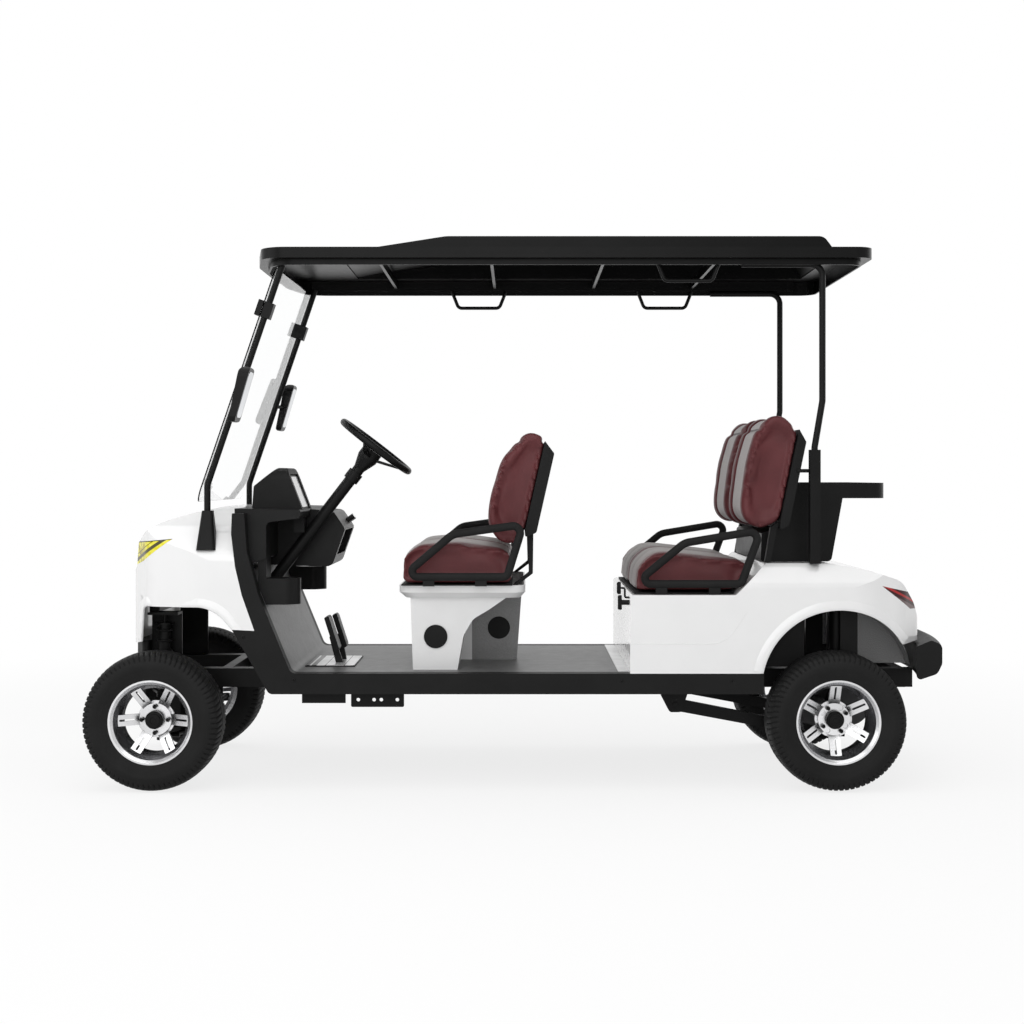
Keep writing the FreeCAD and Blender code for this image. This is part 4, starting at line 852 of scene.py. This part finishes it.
@dataclass
class Tyre:
    """Low tyre with lateral shoulder grooves and three grooves round its tread."""

    radius: float = 0.267
    half_width: float = 0.105
    pitches: int = 76
    samples: int = 8
    groove_depth: float = 0.0055
    bead_radius: float = 0.1525
    bead_half: float = 0.078
    outer_points: int = 72
    tread_grooves: tuple[float, ...] = (-0.032, 0.0, 0.032)
    tread_groove_half: float = 0.0028
    shoulder_start: float = 0.034
    shoulder_radius: float = 0.232
    tread_edge_radius: float = 0.26
    wall_ribs: tuple[Place, ...] = ((0.1885, 0.003, 0.0012), (0.212, 0.002, 0.0009))

    def section(self) -> Array:
        """Radius and width of the closed section: crown, shoulders, walls, beads and inside."""
        corners = [
            (self.bead_radius, -self.bead_half), (0.168, -0.087), (0.215, -self.half_width),
            (0.2585, -0.0905), (self.radius, -0.045), (self.radius, 0.045), (0.2585, 0.0905),
            (0.215, self.half_width), (0.168, 0.087), (self.bead_radius, self.bead_half),
        ]
        outer = bent(corners, 0.016, 6)
        steps = np.concatenate([[0], np.cumsum(np.linalg.norm(np.diff(outer, axis=0), axis=1))])
        even = np.linspace(0, steps[-1], self.outer_points)
        outside = np.stack([np.interp(even, steps, outer[:, k]) for k in (0, 1)], -1)
        inside = np.array([(0.16, 0.06), (0.215, 0.09), (0.253, 0.06), (0.253, -0.06), (0.215, -0.09), (0.16, -0.06)])
        return np.concatenate([outside, inside])

    def grid(self, x: float, side: float) -> Array:
        """The tyre round its axle.

        A point's radius is the section's, less the groove depth where a groove runs. Shoulder grooves are
        narrow pulses of the angle times the number of pitches, bent by how far out they are; the grooves
        round the tread are narrow pulses of the width alone. A rib of the wall has its radius, width and
        height, and stands out by a dent turned outwards.

        Args:
            x: the axle's place.
            side: -1 on the left.

        Returns:
            Rows round the axle by columns round the section.
        """
        section = self.section()
        r, t = section[:, 0], section[:, 1]
        turn = np.linspace(0, 2 * math.pi, self.pitches * self.samples, endpoint=False)[:, None]
        out = np.abs(t)[None]
        phase = (turn * self.pitches / (2 * math.pi) + 9.0 * out + np.sign(t)[None] * 0.25) % 1.0
        lateral = np.clip(1.6 - np.abs(phase - 0.5) * 9.0, 0, 1)
        span = np.clip((out - self.shoulder_start) / 0.004, 0, 1) * np.clip(
            (r[None] - self.shoulder_radius) / 0.008, 0, 1)
        around = sum(np.clip(1.5 - np.abs(t - at) / self.tread_groove_half, 0, 1) for at in self.tread_grooves)
        around = around[None] * (r[None] > self.tread_edge_radius)
        outside = np.arange(len(r))[None] < self.outer_points
        rib = sum(dent(r - at, width, height) for at, width, height in self.wall_ribs)
        cut = self.groove_depth * np.maximum(lateral * span, around) * outside
        reach = r[None] - cut * np.clip((r[None] - 0.2) / 0.05, 0.35, 1)
        across = np.sign(t)[None] * (out + rib[None] * outside - cut * np.clip((out - 0.085) / 0.02, 0, 0.7))
        wide = np.broadcast_to(across, reach.shape)
        return np.stack([x + reach * np.cos(turn), side * WHEEL_Y + wide, WHEEL_Z + reach * np.sin(turn)], -1)

    def build(self) -> None:
        """Makes the four tyres."""
        for name, x, side in wheels():
            skin = Skin().add(self.grid(x, side), wrap_rows=True)
            made = skin.piece(f"tread_{name}", Paint.RUBBER, "tyre_rubber", f"wheel_{name}", 50.0)
            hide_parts(f"tyre_{name}")


@dataclass
class HubTrim:
    """Black cap with stepped rings and four lug nuts on each rim."""

    face_y: float = 0.509
    cap_radius: float = 0.035
    lug_circle: float = 0.0508
    turns: tuple[float, ...] = (0.0, 90.0, 180.0, 270.0)
    rear_turn: float = 30.0

    def build(self) -> None:
        """Makes one piece for each wheel."""
        profile = [(-0.003, self.cap_radius), (0.006, self.cap_radius), (0.012, 0.031), (0.0125, 0.026),
                   (0.018, 0.0245), (0.0185, 0.014), (0.0165, 0.013), (0.0165, 0.001)]
        nut = [(-0.006, 0.0085), (0.007, 0.0085), (0.012, 0.0055), (0.012, 0.001)]
        for name, x, side in wheels():
            start = 0.0 if name.startswith("front") else self.rear_turn
            skin = Skin()
            skin.add(revolved(profile, (x, side * self.face_y, WHEEL_Z), (0, side, 0)))
            for turn in self.turns:
                angle = math.radians(turn + start)
                foot = (x + self.lug_circle * math.cos(angle), side * (self.face_y - 0.006),
                        WHEEL_Z + self.lug_circle * math.sin(angle))
                skin.add(revolved(nut, foot, (0, side, 0), 6))
            skin.piece(f"hub_trim_{name}", Paint.SATIN, "black_trim", f"wheel_{name}", 30.0)


@dataclass
class Pad:
    """A stuffed pad: a side outline carried across the seat and rounded at both ends.

    outline is the closed side view, low_y and high_y the ends, edge the rounding's radii along y, x
    and z. rest names two points in side view on the line that the pad lies on.
    """

    name: str
    paint: Paint
    node: str
    outline: Array
    low_y: float
    high_y: float
    edge: Place
    rest: Outline
    seams: Callable[[Array, Hide], Array]
    barrel: float = 0.0
    voxel: float = 0.009
    cap: float = 0.009
    shrink: float = 0.005
    end_rows: int = 8
    middle_rows: int = 10
    frames: int = 20
    pressure: float = 3.0

    def grid(self) -> Array:
        """The pad before it is filled.

        At an angle a, up to a quarter turn, a row stands edge_y (1 - sin a) inside the pad's end, and the
        outline is shorter there by edge_x (1 - sin a) and lower by edge_z (1 - sin a) each way.

        Returns:
            Rows across the pad by columns round its outline.
        """
        a = np.linspace(0.15, math.pi / 2, self.end_rows)
        y0, y1 = self.low_y + self.shrink, self.high_y - self.shrink
        level = np.linspace(y0 + self.edge[0], y1 - self.edge[0], self.middle_rows + 2)[1:-1]
        low = y0 + self.edge[0] * (1 - np.sin(a))
        y = np.concatenate([low, level, (y0 + y1 - low)[::-1]])
        fall = np.concatenate([1 - np.sin(a), np.zeros(self.middle_rows), (1 - np.sin(a))[::-1]])
        centre = 0.5 * (self.outline.min(0) + self.outline.max(0))
        half = 0.5 * (self.outline.max(0) - self.outline.min(0))
        drawn = 1 - (fall[:, None] * np.array(self.edge[1:])[None] + self.shrink) / half[None]
        flat = centre + (self.outline - centre)[None] * drawn[:, None]
        rise = (flat[..., 1] - centre[1]) / half[1]
        mid_y = 0.5 * (self.low_y + self.high_y)
        across = mid_y + (y[:, None] - mid_y) * (1 - self.barrel * rise**2)
        return np.stack([flat[..., 0], across, flat[..., 1]], -1)

    def held(self, points: Array) -> Array:
        """1 for points within a few millimetres of the line that the pad lies on, 0 beyond."""
        (x0, z0), (x1, z1) = self.rest
        run = np.hypot(x1 - x0, z1 - z0)
        away = np.abs((points[:, 0] - x0) * (z1 - z0) - (points[:, 2] - z0) * (x1 - x0)) / run
        return np.clip(1.6 - away / 0.015, 0, 1)

    def build(self) -> bpy.types.Object:
        """Makes, fills and sews the pad."""
        made = Skin().add(self.grid()).piece(self.name, self.paint, "seat_leather")
        remesh = made.modifiers.new("even", "REMESH")
        remesh.mode = "VOXEL"
        remesh.voxel_size = self.voxel
        settle(made)
        self.fill(made)
        ease = made.modifiers.new("ease", "SMOOTH")
        ease.factor = 0.5
        ease.iterations = 14
        rounder = made.modifiers.new("rounder", "SUBSURF")
        rounder.levels = rounder.render_levels = 1
        settle(made)
        self.sew(made)
        soften(made.data, 80.0)
        made.data.materials.clear()
        made.data.materials.append(self.paint.material())
        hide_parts(self.node)
        return made

    def fill(self, made: bpy.types.Object) -> None:
        """Blows the pad up as cloth and limits how far a point may go."""
        start = points_of(made.data)
        group = made.vertex_groups.new(name="held")
        weights = self.held(start)
        for number in np.flatnonzero(weights > 0.5).tolist():
            group.add([number], 1.0, "REPLACE")
        cloth = made.modifiers.new("cloth", "CLOTH")
        cloth.settings.vertex_group_mass = "held"
        cloth.settings.quality = 4
        cloth.settings.use_pressure = True
        cloth.settings.uniform_pressure_force = self.pressure
        cloth.settings.effector_weights.gravity = 0.0
        cloth.collision_settings.use_collision = False
        cloth.point_cache.frame_end = self.frames
        scene = bpy.context.scene
        for number in range(1, self.frames + 1):
            scene.frame_set(number)
        graph = bpy.context.evaluated_depsgraph_get()
        blown = points_of(made.evaluated_get(graph).data)
        move = blown - start
        length = np.linalg.norm(move, axis=1, keepdims=True)
        blown = start + move * np.minimum(1.0, self.cap / np.maximum(length, 1e-9))
        made.modifiers.clear()
        made.vertex_groups.clear()
        scene.frame_set(1)
        made.data.vertices.foreach_set("co", blown.astype(np.float32).ravel())
        made.data.update()

    def sew(self, made: bpy.types.Object) -> None:
        """Presses the sewn channels in along each point's normal, deepest on the face."""
        mesh = made.data
        points = points_of(mesh)
        normal = np.empty(len(points) * 3, np.float32)
        mesh.vertex_normals.foreach_get("vector", normal)
        normal = normal.reshape(-1, 3)
        facing = np.clip(1.25 - np.abs(normal[:, 1:2]) * 1.3, 0, 1)
        points = points - normal * self.seams(points, self.paint.value)[:, None] * facing
        mesh.vertices.foreach_set("co", points.astype(np.float32).ravel())
        mesh.update()


def points_of(mesh: bpy.types.Mesh) -> Array:
    """A mesh's points."""
    flat = np.empty(len(mesh.vertices) * 3, np.float32)
    mesh.vertices.foreach_get("co", flat)
    return flat.reshape(-1, 3).astype(float)


def settle(made: bpy.types.Object) -> None:
    """Makes an object's modifiers part of its mesh."""
    graph = bpy.context.evaluated_depsgraph_get()
    mesh = bpy.data.meshes.new_from_object(made.evaluated_get(graph))
    made.modifiers.clear()
    made.data = mesh


def dent(distance: Array, width: float, depth: float) -> Array:
    """A rounded groove: depth times e to the power of minus distance over width, squared."""
    return depth * np.exp(-((distance / width) ** 2))


def bench_seams(points: Array, hide: Hide) -> Array:
    """Groove depth over a bench cushion: round each insert, along its middle, and between the seats."""
    across = np.abs(np.abs(points[:, 1]) - hide.middle)
    half = hide.insert / 2
    edge = dent(across - hide.insert, 0.007, 0.007)
    middle = dent(across, 0.007, 0.006)
    crown = -0.006 * np.clip(1 - (np.abs(across - half) / 0.07) ** 2, 0, 1)
    split = dent(points[:, 1], 0.009, 0.009)
    piping = -dent(np.abs(points[:, 1]) - 0.482, 0.005, 0.003)
    return edge + middle + crown + split + piping


def back_seams(points: Array, hide: Hide) -> Array:
    """Groove depth over a backrest pad: beside its insert and across it at head height."""
    across = np.abs(np.abs(points[:, 1]) - hide.middle)
    edge = dent(across - hide.insert, 0.008, 0.008)
    head = dent(points[:, 2] - hide.head_z, 0.01, 0.007)
    bolster = -0.008 * np.clip(1 - (np.abs(across - 0.18) / 0.05) ** 2, 0, 1)
    return edge + head + bolster


@dataclass(frozen=True)
class Row:
    """One row in side view: the outlines of its cushion and backrest, and the lines that they lie on."""

    name: str
    back_paint: Paint
    seat: Outline
    seat_rest: Outline
    back: Outline
    back_rest: Outline


ROWS = (
    Row("front", Paint.FRONT_BACK,
        ((-0.467, 0.792), (-0.471, 0.893), (-0.425, 0.936), (-0.25, 0.949), (-0.024, 0.918), (-0.024, 0.792)),
        ((-0.467, 0.79), (-0.024, 0.79)),
        ((-0.018, 0.937), (-0.084, 0.947), (-0.123, 1.02), (-0.107, 1.127), (-0.064, 1.267), (0.0, 1.345),
         (0.04, 1.394), (0.096, 1.363), (0.02, 1.027)),
        ((0.023, 1.027), (0.099, 1.363))),
    Row("rear", Paint.REAR_BACK,
        ((0.436, 0.762), (0.440, 0.85), (0.485, 0.903), (0.56, 0.912), (0.868, 0.876), (0.91, 0.851),
         (0.824, 0.762)),
        ((0.436, 0.76), (0.824, 0.76)),
        ((0.942, 1.0), (0.9, 1.008), (0.869, 1.04), (0.868, 1.1), (0.89, 1.26), (0.928, 1.39), (0.985, 1.452),
         (1.03, 1.448), (1.078, 1.396), (1.004, 1.04)),
        ((1.007, 1.04), (1.081, 1.396))),
)


@dataclass
class Benches:
    """The cushions and backrest pads of both rows."""

    seat_half_width: float = 0.499
    seat_edge: Place = (0.03, 0.02, 0.03)
    back_width: float = 0.486
    back_edge: Place = (0.05, 0.03, 0.07)
    back_starts: tuple[tuple[str, float], ...] = (("left", -0.508), ("right", 0.022))

    def build(self) -> None:
        """Makes two cushions and four backrest pads."""
        for row in ROWS:
            outline = bent(row.seat, 0.03, 5, closed=True)
            Pad(f"{row.name}_cushion", Paint.BENCH, "seat_cushions", outline, -self.seat_half_width,
                self.seat_half_width, self.seat_edge, row.seat_rest, bench_seams).build()
            outline = bent(row.back, 0.035, 5, closed=True)
            for hand, low in self.back_starts:
                Pad(f"{row.name}_backrest_{hand}", row.back_paint, "backrests", outline, low, low + self.back_width,
                    self.back_edge, row.back_rest, back_seams, barrel=0.1).build()


@dataclass
class Fasteners:
    """Round-headed bolts on the sills and under the roof's edge."""

    radius: float = 0.007
    height: float = 0.003
    sills: Outline = ((-1.064, 0.593), (-0.869, 0.428), (0.389, 0.424), (0.81, 0.424))
    roof_x: tuple[float, ...] = (-0.736, -0.6, 0.0, 0.6, 1.1)
    roof_y: float = 0.516
    roof_z: float = 2.039

    def build(self) -> None:
        """Makes all heads as one piece."""
        skin = Skin()
        head = [(0.0, self.radius), (self.height * 0.6, self.radius * 0.92), (self.height, self.radius * 0.5),
                (self.height * 0.7, self.radius * 0.45), (self.height * 0.7, 0.0005)]
        for x, z in self.sills:
            for side in (-1, 1):
                skin.add(revolved(head, (x, side * (BODY_SIDE_Y + 0.0001), z), (0, side, 0), 16))
        for x in self.roof_x:
            for side in (-1, 1):
                skin.add(revolved(head, (x, side * self.roof_y, self.roof_z), (0, 0, -1), 12))
        skin.piece("bolt_heads", Paint.SATIN, "black_trim")


@dataclass
class BodyTrim:
    """Pressed edges round the four arches and the flank's crease, and painted shade for the hollow low on the nose: a
    grey panel, not a cut recess.

    section is the lips' own, as share across and height. The front lip runs between two lines.
    """

    arch_radius: float = 0.3023
    lip: float = 0.038
    start: float = 34.0
    end: float = 168.0
    section: Outline = ((0, -0.003), (0, 0.003), (0.07, 0.0052), (0.25, 0.006), (0.6, 0.0042), (0.85, 0.0018),
                        (1, 0.0), (1, -0.003))
    front_inner: Outline = ((-1.107, 0.6205), (-1.156, 0.6765), (-1.215, 0.7055), (-1.47, 0.7055),
                            (-1.4835, 0.563))
    front_outer: Outline = ((-1.066, 0.6205), (-1.13, 0.705), (-1.206, 0.741), (-1.489, 0.741), (-1.516, 0.565))
    crease: Outline = ((0.424, 0.564), (0.788, 0.564), (0.868, 0.686))
    crease_section: Outline = ((0, -0.001), (0.2, 0.0009), (0.8, 0.0009), (1, -0.001))
    hollow: Outline = ((-1.544, 0.718), (-1.536, 0.785), (-1.462, 0.722))

    def lips(self) -> None:
        """Makes the lips with the crease."""
        section = np.array(self.section)
        rear = REAR_FLANK.band(rear_arc(self.arch_radius, self.start, self.end),
                               rear_arc(self.arch_radius + self.lip, self.start, self.end), section)
        front = NOSE_FLANK.band(bent(self.front_inner, 0.03, 8), bent(self.front_outer, 0.04, 8), section)
        path = bent(self.crease, 0.07, 12)
        crease = REAR_FLANK.band(path, path + np.array([-0.002, 0.004]), np.array(self.crease_section))
        skin = Skin()
        for grid in (rear, front, crease):
            skin.add_both(grid)
        skin.piece("body_lips", Paint.WHITE, "white_body", crease=50.0)

    def hollows(self) -> None:
        """Paints the shade of the nose's hollow on each side as a grey panel about flush with the surface."""
        corners = bent(self.hollow, 0.012, 6, closed=True)
        middle = corners.mean(0)
        rings = []
        for size, out in ((1.0, -0.002), (1.0, 0.001), (0.86, 0.0014)):
            flat = middle + (corners - middle) * size
            x, y = NOSE_FLANK.stand(flat[:, 0], out)
            rings.append(np.stack([x, y, flat[:, 1]], -1))
        Skin().add_both(np.stack(rings)).piece("nose_hollow_shade", Paint.PAINTED_HOLLOW_SHADE, "white_body")

    def build(self) -> None:
        """Makes both."""
        self.lips()
        self.hollows()


@dataclass
class ArchLiner:
    """Black liner ahead of each rear axle: a curved sheet and its inner wall, open at mid axle."""

    front_angle: float = 167.4
    rear_angle: float = 110.8
    radius: float = 0.3025
    wall: float = 0.003
    inner_y: float = 0.372
    outer_y: float = 0.551

    def arc(self, radius: float) -> Array:
        """The liner's line in side view at that radius."""
        return rear_arc(radius, self.rear_angle, self.front_angle, 24)

    def build(self) -> None:
        """Makes both sides as one piece."""
        outer = self.radius + self.wall
        sheet = [np.insert(self.arc(radius), 1, y, axis=1) for radius, y in (
            (self.radius, self.inner_y), (outer, self.inner_y), (outer, self.outer_y), (self.radius, self.outer_y))]
        edge = self.arc(self.radius + 0.001)
        foot = np.array([(edge[0, 0], edge[-1, 1])])
        wall = plate(np.concatenate([foot, edge]), self.inner_y, self.inner_y + self.wall)
        skin = Skin().add_both(np.stack(sheet, 1)).add_both(wall)
        skin.piece("arch_liners", Paint.LINER, "black_trim")


@dataclass
class SeatPulls:
    """A T handle low on the rear body's front, and an oval knob on a bent stem above it."""

    y: float = -0.49
    face_x: float = 0.42
    low_z: float = 0.72
    high_z: float = 0.776

    def build(self) -> None:
        """Makes the left side's two pulls as one piece."""
        x, y, low, high = self.face_x, self.y, self.low_z, self.high_z
        bar = [(-0.002, 0.010), (0.03, 0.010), (0.03, 0.001)]
        stem = bent([(x + 0.002, y, low + 0.019), (x - 0.016, y, low + 0.019), (x - 0.016, y, high),
                     (x - 0.034, y, high)], 0.01, 5)
        pieces = [
            revolved(bar, (x, y, low), (-1, 0, 0), 20),
            panel((x - 0.028, y, low), (0, -1, 0), (0, 0, 1), rectangle(0.024, 0.056, 0.006), 0.015, 0.003),
            swept(stem, disc(0.004), (0, 1, 0)),
            panel((x - 0.032, y, high), (0, -1, 0), (0, 0, 1), rectangle(0.03, 0.048, 0.014), 0.015, 0.005),
        ]
        skin = Skin()
        for grid in pieces:
            skin.add(grid)
        skin.piece("seat_pulls", Paint.SATIN, "black_trim")


@dataclass
class Controls:
    """Pedal faces, the plate before them, the display's screen, the console knob's cap and the mirrors' glass.

    A pedal has its x, y and width, and each up is the direction that a slanted piece rises in.
    """

    pedals: tuple[Place, ...] = ((-0.732, -0.095, 0.056), (-0.75, -0.215, 0.078))
    pedal_z: float = 0.58
    pedal_height: float = 0.13
    pedal_up: Place = (-0.044, 0, 0.136)
    plate_place: Place = (-0.7575, -0.145, 0.456)
    screen_place: Place = (-0.8885, -0.27, 1.1465)
    screen_up: Place = (-0.3608, 0, 0.9327)
    knob_place: Place = (-0.7, 0.06, 1.042)
    knob_axis: Place = (45, 0, 32)
    mirror_place: Place = (-1.0491, 0.605, 1.518)
    mirror_up: Place = (0.2827, 0, 0.9592)

    def build(self) -> None:
        """Makes each of them."""
        treads = Skin()
        for x, y, width in self.pedals:
            face = rectangle(width, self.pedal_height, 0.01)
            treads.add(panel((x, y, self.pedal_z), (0, 1, 0), self.pedal_up, face, 0.0025))
        treads.piece("pedal_faces", Paint.TREADLE, "bright_plate")
        kick = panel(self.plate_place, (1, 0, 0), (0, 1, 0), rectangle(0.19, 0.35, 0.01), 0.0015)
        Skin().add(kick).piece("kick_plate", Paint.STRIPED, "bright_plate")
        screen = panel(self.screen_place, (0, 1, 0), self.screen_up, rectangle(0.2, 0.13, 0.008), 0.002)
        Skin().add(screen).piece("screen", Paint.SCREEN, "mirror_black")
        cap = [(-0.001, 0.0125), (0.002, 0.0125), (0.004, 0.009), (0.004, 0.001)]
        Skin().add(revolved(cap, self.knob_place, self.knob_axis, 24)).piece("knob_cap", Paint.CHROME, "bright_plate")
        glass = panel(self.mirror_place, (0, 1, 0), self.mirror_up, rectangle(0.096, 0.18, 0.022), 0.0015)
        Skin().add_both(glass).piece("mirror_glass", Paint.MIRROR, "mirror_black")


@dataclass
class Studio:
    """Pale floor, soft lamps and the camera at the photograph's place."""

    lens: float = 57.69
    camera_place: Place = (-0.008, -6.85, 1.206)
    shift: tuple[float, float] = (-0.00635, -0.0342)
    floor_corners: Outline = ((-40, -30), (40, -30), (40, 60), (-40, 60))
    floor_fade: tuple[float, float] = (1.8, 5.5)
    even_light: float = 0.45

    def camera(self) -> None:
        """Level camera looking along +Y."""
        data = bpy.data.cameras.new("camera")
        data.lens = self.lens
        data.sensor_width = 36.0
        data.shift_x, data.shift_y = self.shift
        data.dof.use_dof = False
        made = bpy.data.objects.new("camera", data)
        made.location = self.camera_place
        made.rotation_euler = (math.pi / 2, 0, 0)
        bpy.context.scene.collection.objects.link(made)
        bpy.context.scene.camera = made

    def lamp(self, name: str, place: Place, aim: Place, size: float, power: float) -> None:
        """A square soft lamp.

        Args:
            name: the lamp's name.
            place: where it hangs.
            aim: the point that it faces.
            size: its side in metres.
            power: watts.
        """
        data = bpy.data.lights.new(name, "AREA")
        data.shape = "SQUARE"
        data.size = size
        data.energy = power
        made = bpy.data.objects.new(name, data)
        made.location = place
        away = np.array(place) - np.array(aim)
        level = math.hypot(away[0], away[1])
        made.rotation_euler = (math.atan2(level, away[2]), 0, math.atan2(away[1], away[0]) + math.pi / 2)
        bpy.context.scene.collection.objects.link(made)

    def backdrop(self, graph: Graph) -> Term:
        """1 for rays from the camera, a mirror-like surface or glass, 0 for light on the cart."""
        node = graph.node("ShaderNodeLightPath", output="Is Camera Ray").socket.node
        rays = [Term(graph, node.outputs[f"Is {kind} Ray"]) for kind in ("Camera", "Transmission", "Glossy")]
        return (rays[0] + rays[1] + rays[2]).smaller(1.0)

    def floor(self) -> None:
        """A pale floor that keeps the cart's shadow."""
        mesh = bpy.data.meshes.new("floor")
        mesh.from_pydata([(*corner, 0) for corner in self.floor_corners], [], [(0, 1, 2, 3)])
        made = bpy.data.objects.new("floor", mesh)
        bpy.context.scene.collection.objects.link(made)
        graph = Graph(bpy.data.materials.new("floor_paper"))
        lit = graph.node("ShaderNodeBsdfDiffuse", inputs={"Color": (0.9, 0.9, 0.9, 1)})
        glow = graph.node("ShaderNodeEmission", inputs={"Color": (1, 1, 1, 1), "Strength": 1.0})
        x, y, _ = graph.axes()
        away = (x * x + y * y).root().ramp(*self.floor_fade)
        share = self.backdrop(graph) * (away * 0.2 + 0.8)
        graph.node_output(graph.node("ShaderNodeMixShader", inputs={0: share, 1: lit, 2: glow}))
        mesh.materials.append(graph.owner)

    def world(self) -> None:
        """White behind the cart, and a gentler even light on it."""
        world = bpy.data.worlds.new("studio")
        bpy.context.scene.world = world
        graph = Graph(world)
        level = self.backdrop(graph) * (1.0 - self.even_light) + self.even_light
        light = graph.node("ShaderNodeBackground", inputs={"Color": (1, 1, 1, 1), "Strength": level})
        graph.node_output(light, "ShaderNodeOutputWorld")

    def build(self) -> None:
        """Makes the whole studio."""
        bpy.context.scene.view_settings.view_transform = "Standard"
        self.camera()
        self.world()
        self.floor()
        self.lamp("overhead", (0.0, -0.5, 5.5), (0, 0, 1), 6.0, 130)
        self.lamp("camera_side", (-1.5, -6.5, 3.8), (0, 0, 0.9), 6.0, 180)
        self.lamp("nose", (-5.5, -2.0, 3.0), (-1, 0, 0.9), 4.0, 60)
        self.lamp("tail", (5.5, 2.0, 3.0), (1, 0, 0.9), 4.0, 55)


NODE_PAINTS = {
    Paint.WHITE: ("front_cowl", "rear_body"),
    Paint.POD: ("front_seat_pod",),
    Paint.TRIM: ("sills", "front_bumper", "display_housing", "rear_bumper", "backrest_shells", "pod_vents"),
    Paint.SATIN: ("steering_wheel", "mirrors", "storage_box", "roof_handles"),
    Paint.STEEL: ("chassis_frame", "steering_column", "pedals", "front_posts", "rear_posts", "rear_suspension",
                  "front_suspension", "knuckle_left", "knuckle_right", "steering_rack"),
    Paint.ROOF: ("roof",),
    Paint.DASH: ("dashboard",),
    Paint.LINER: ("wheel_wells",),
    Paint.ARMREST: ("seat_pans",),
    Paint.MAT: ("floor_pan",),
    Paint.ALLOY: tuple(f"rim_{name}" for name, _, _ in wheels()),
    Paint.PLATE: ("foot_plate",),
    Paint.GREY: ("rear_axle",),
    Paint.CASE: ("battery",),
    Paint.GLASS: ("windshield",),
    Paint.HEAD: ("headlights",),
    Paint.TAIL: ("taillights",),
}


def dress_frame() -> None:
    """Gives every shown CAD node its finish."""
    for paint, names in NODE_PAINTS.items():
        for name in names:
            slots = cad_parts[name].data.materials
            slots.clear()
            slots.append(paint.material())
    log.info("finishes on the frame's nodes: %d", sum(map(len, NODE_PAINTS.values())))


def main() -> None:
    """Builds the studio, the frame's finishes and each sub-assembly in order."""
    logging.basicConfig(level=logging.INFO, format="%(message)s")
    Studio().build()
    dress_frame()
    Tyre().build()
    HubTrim().build()
    Benches().build()
    BodyTrim().build()
    ArchLiner().build()
    SeatPulls().build()
    Controls().build()
    Fasteners().build()


if __name__ == "__main__":
    main()
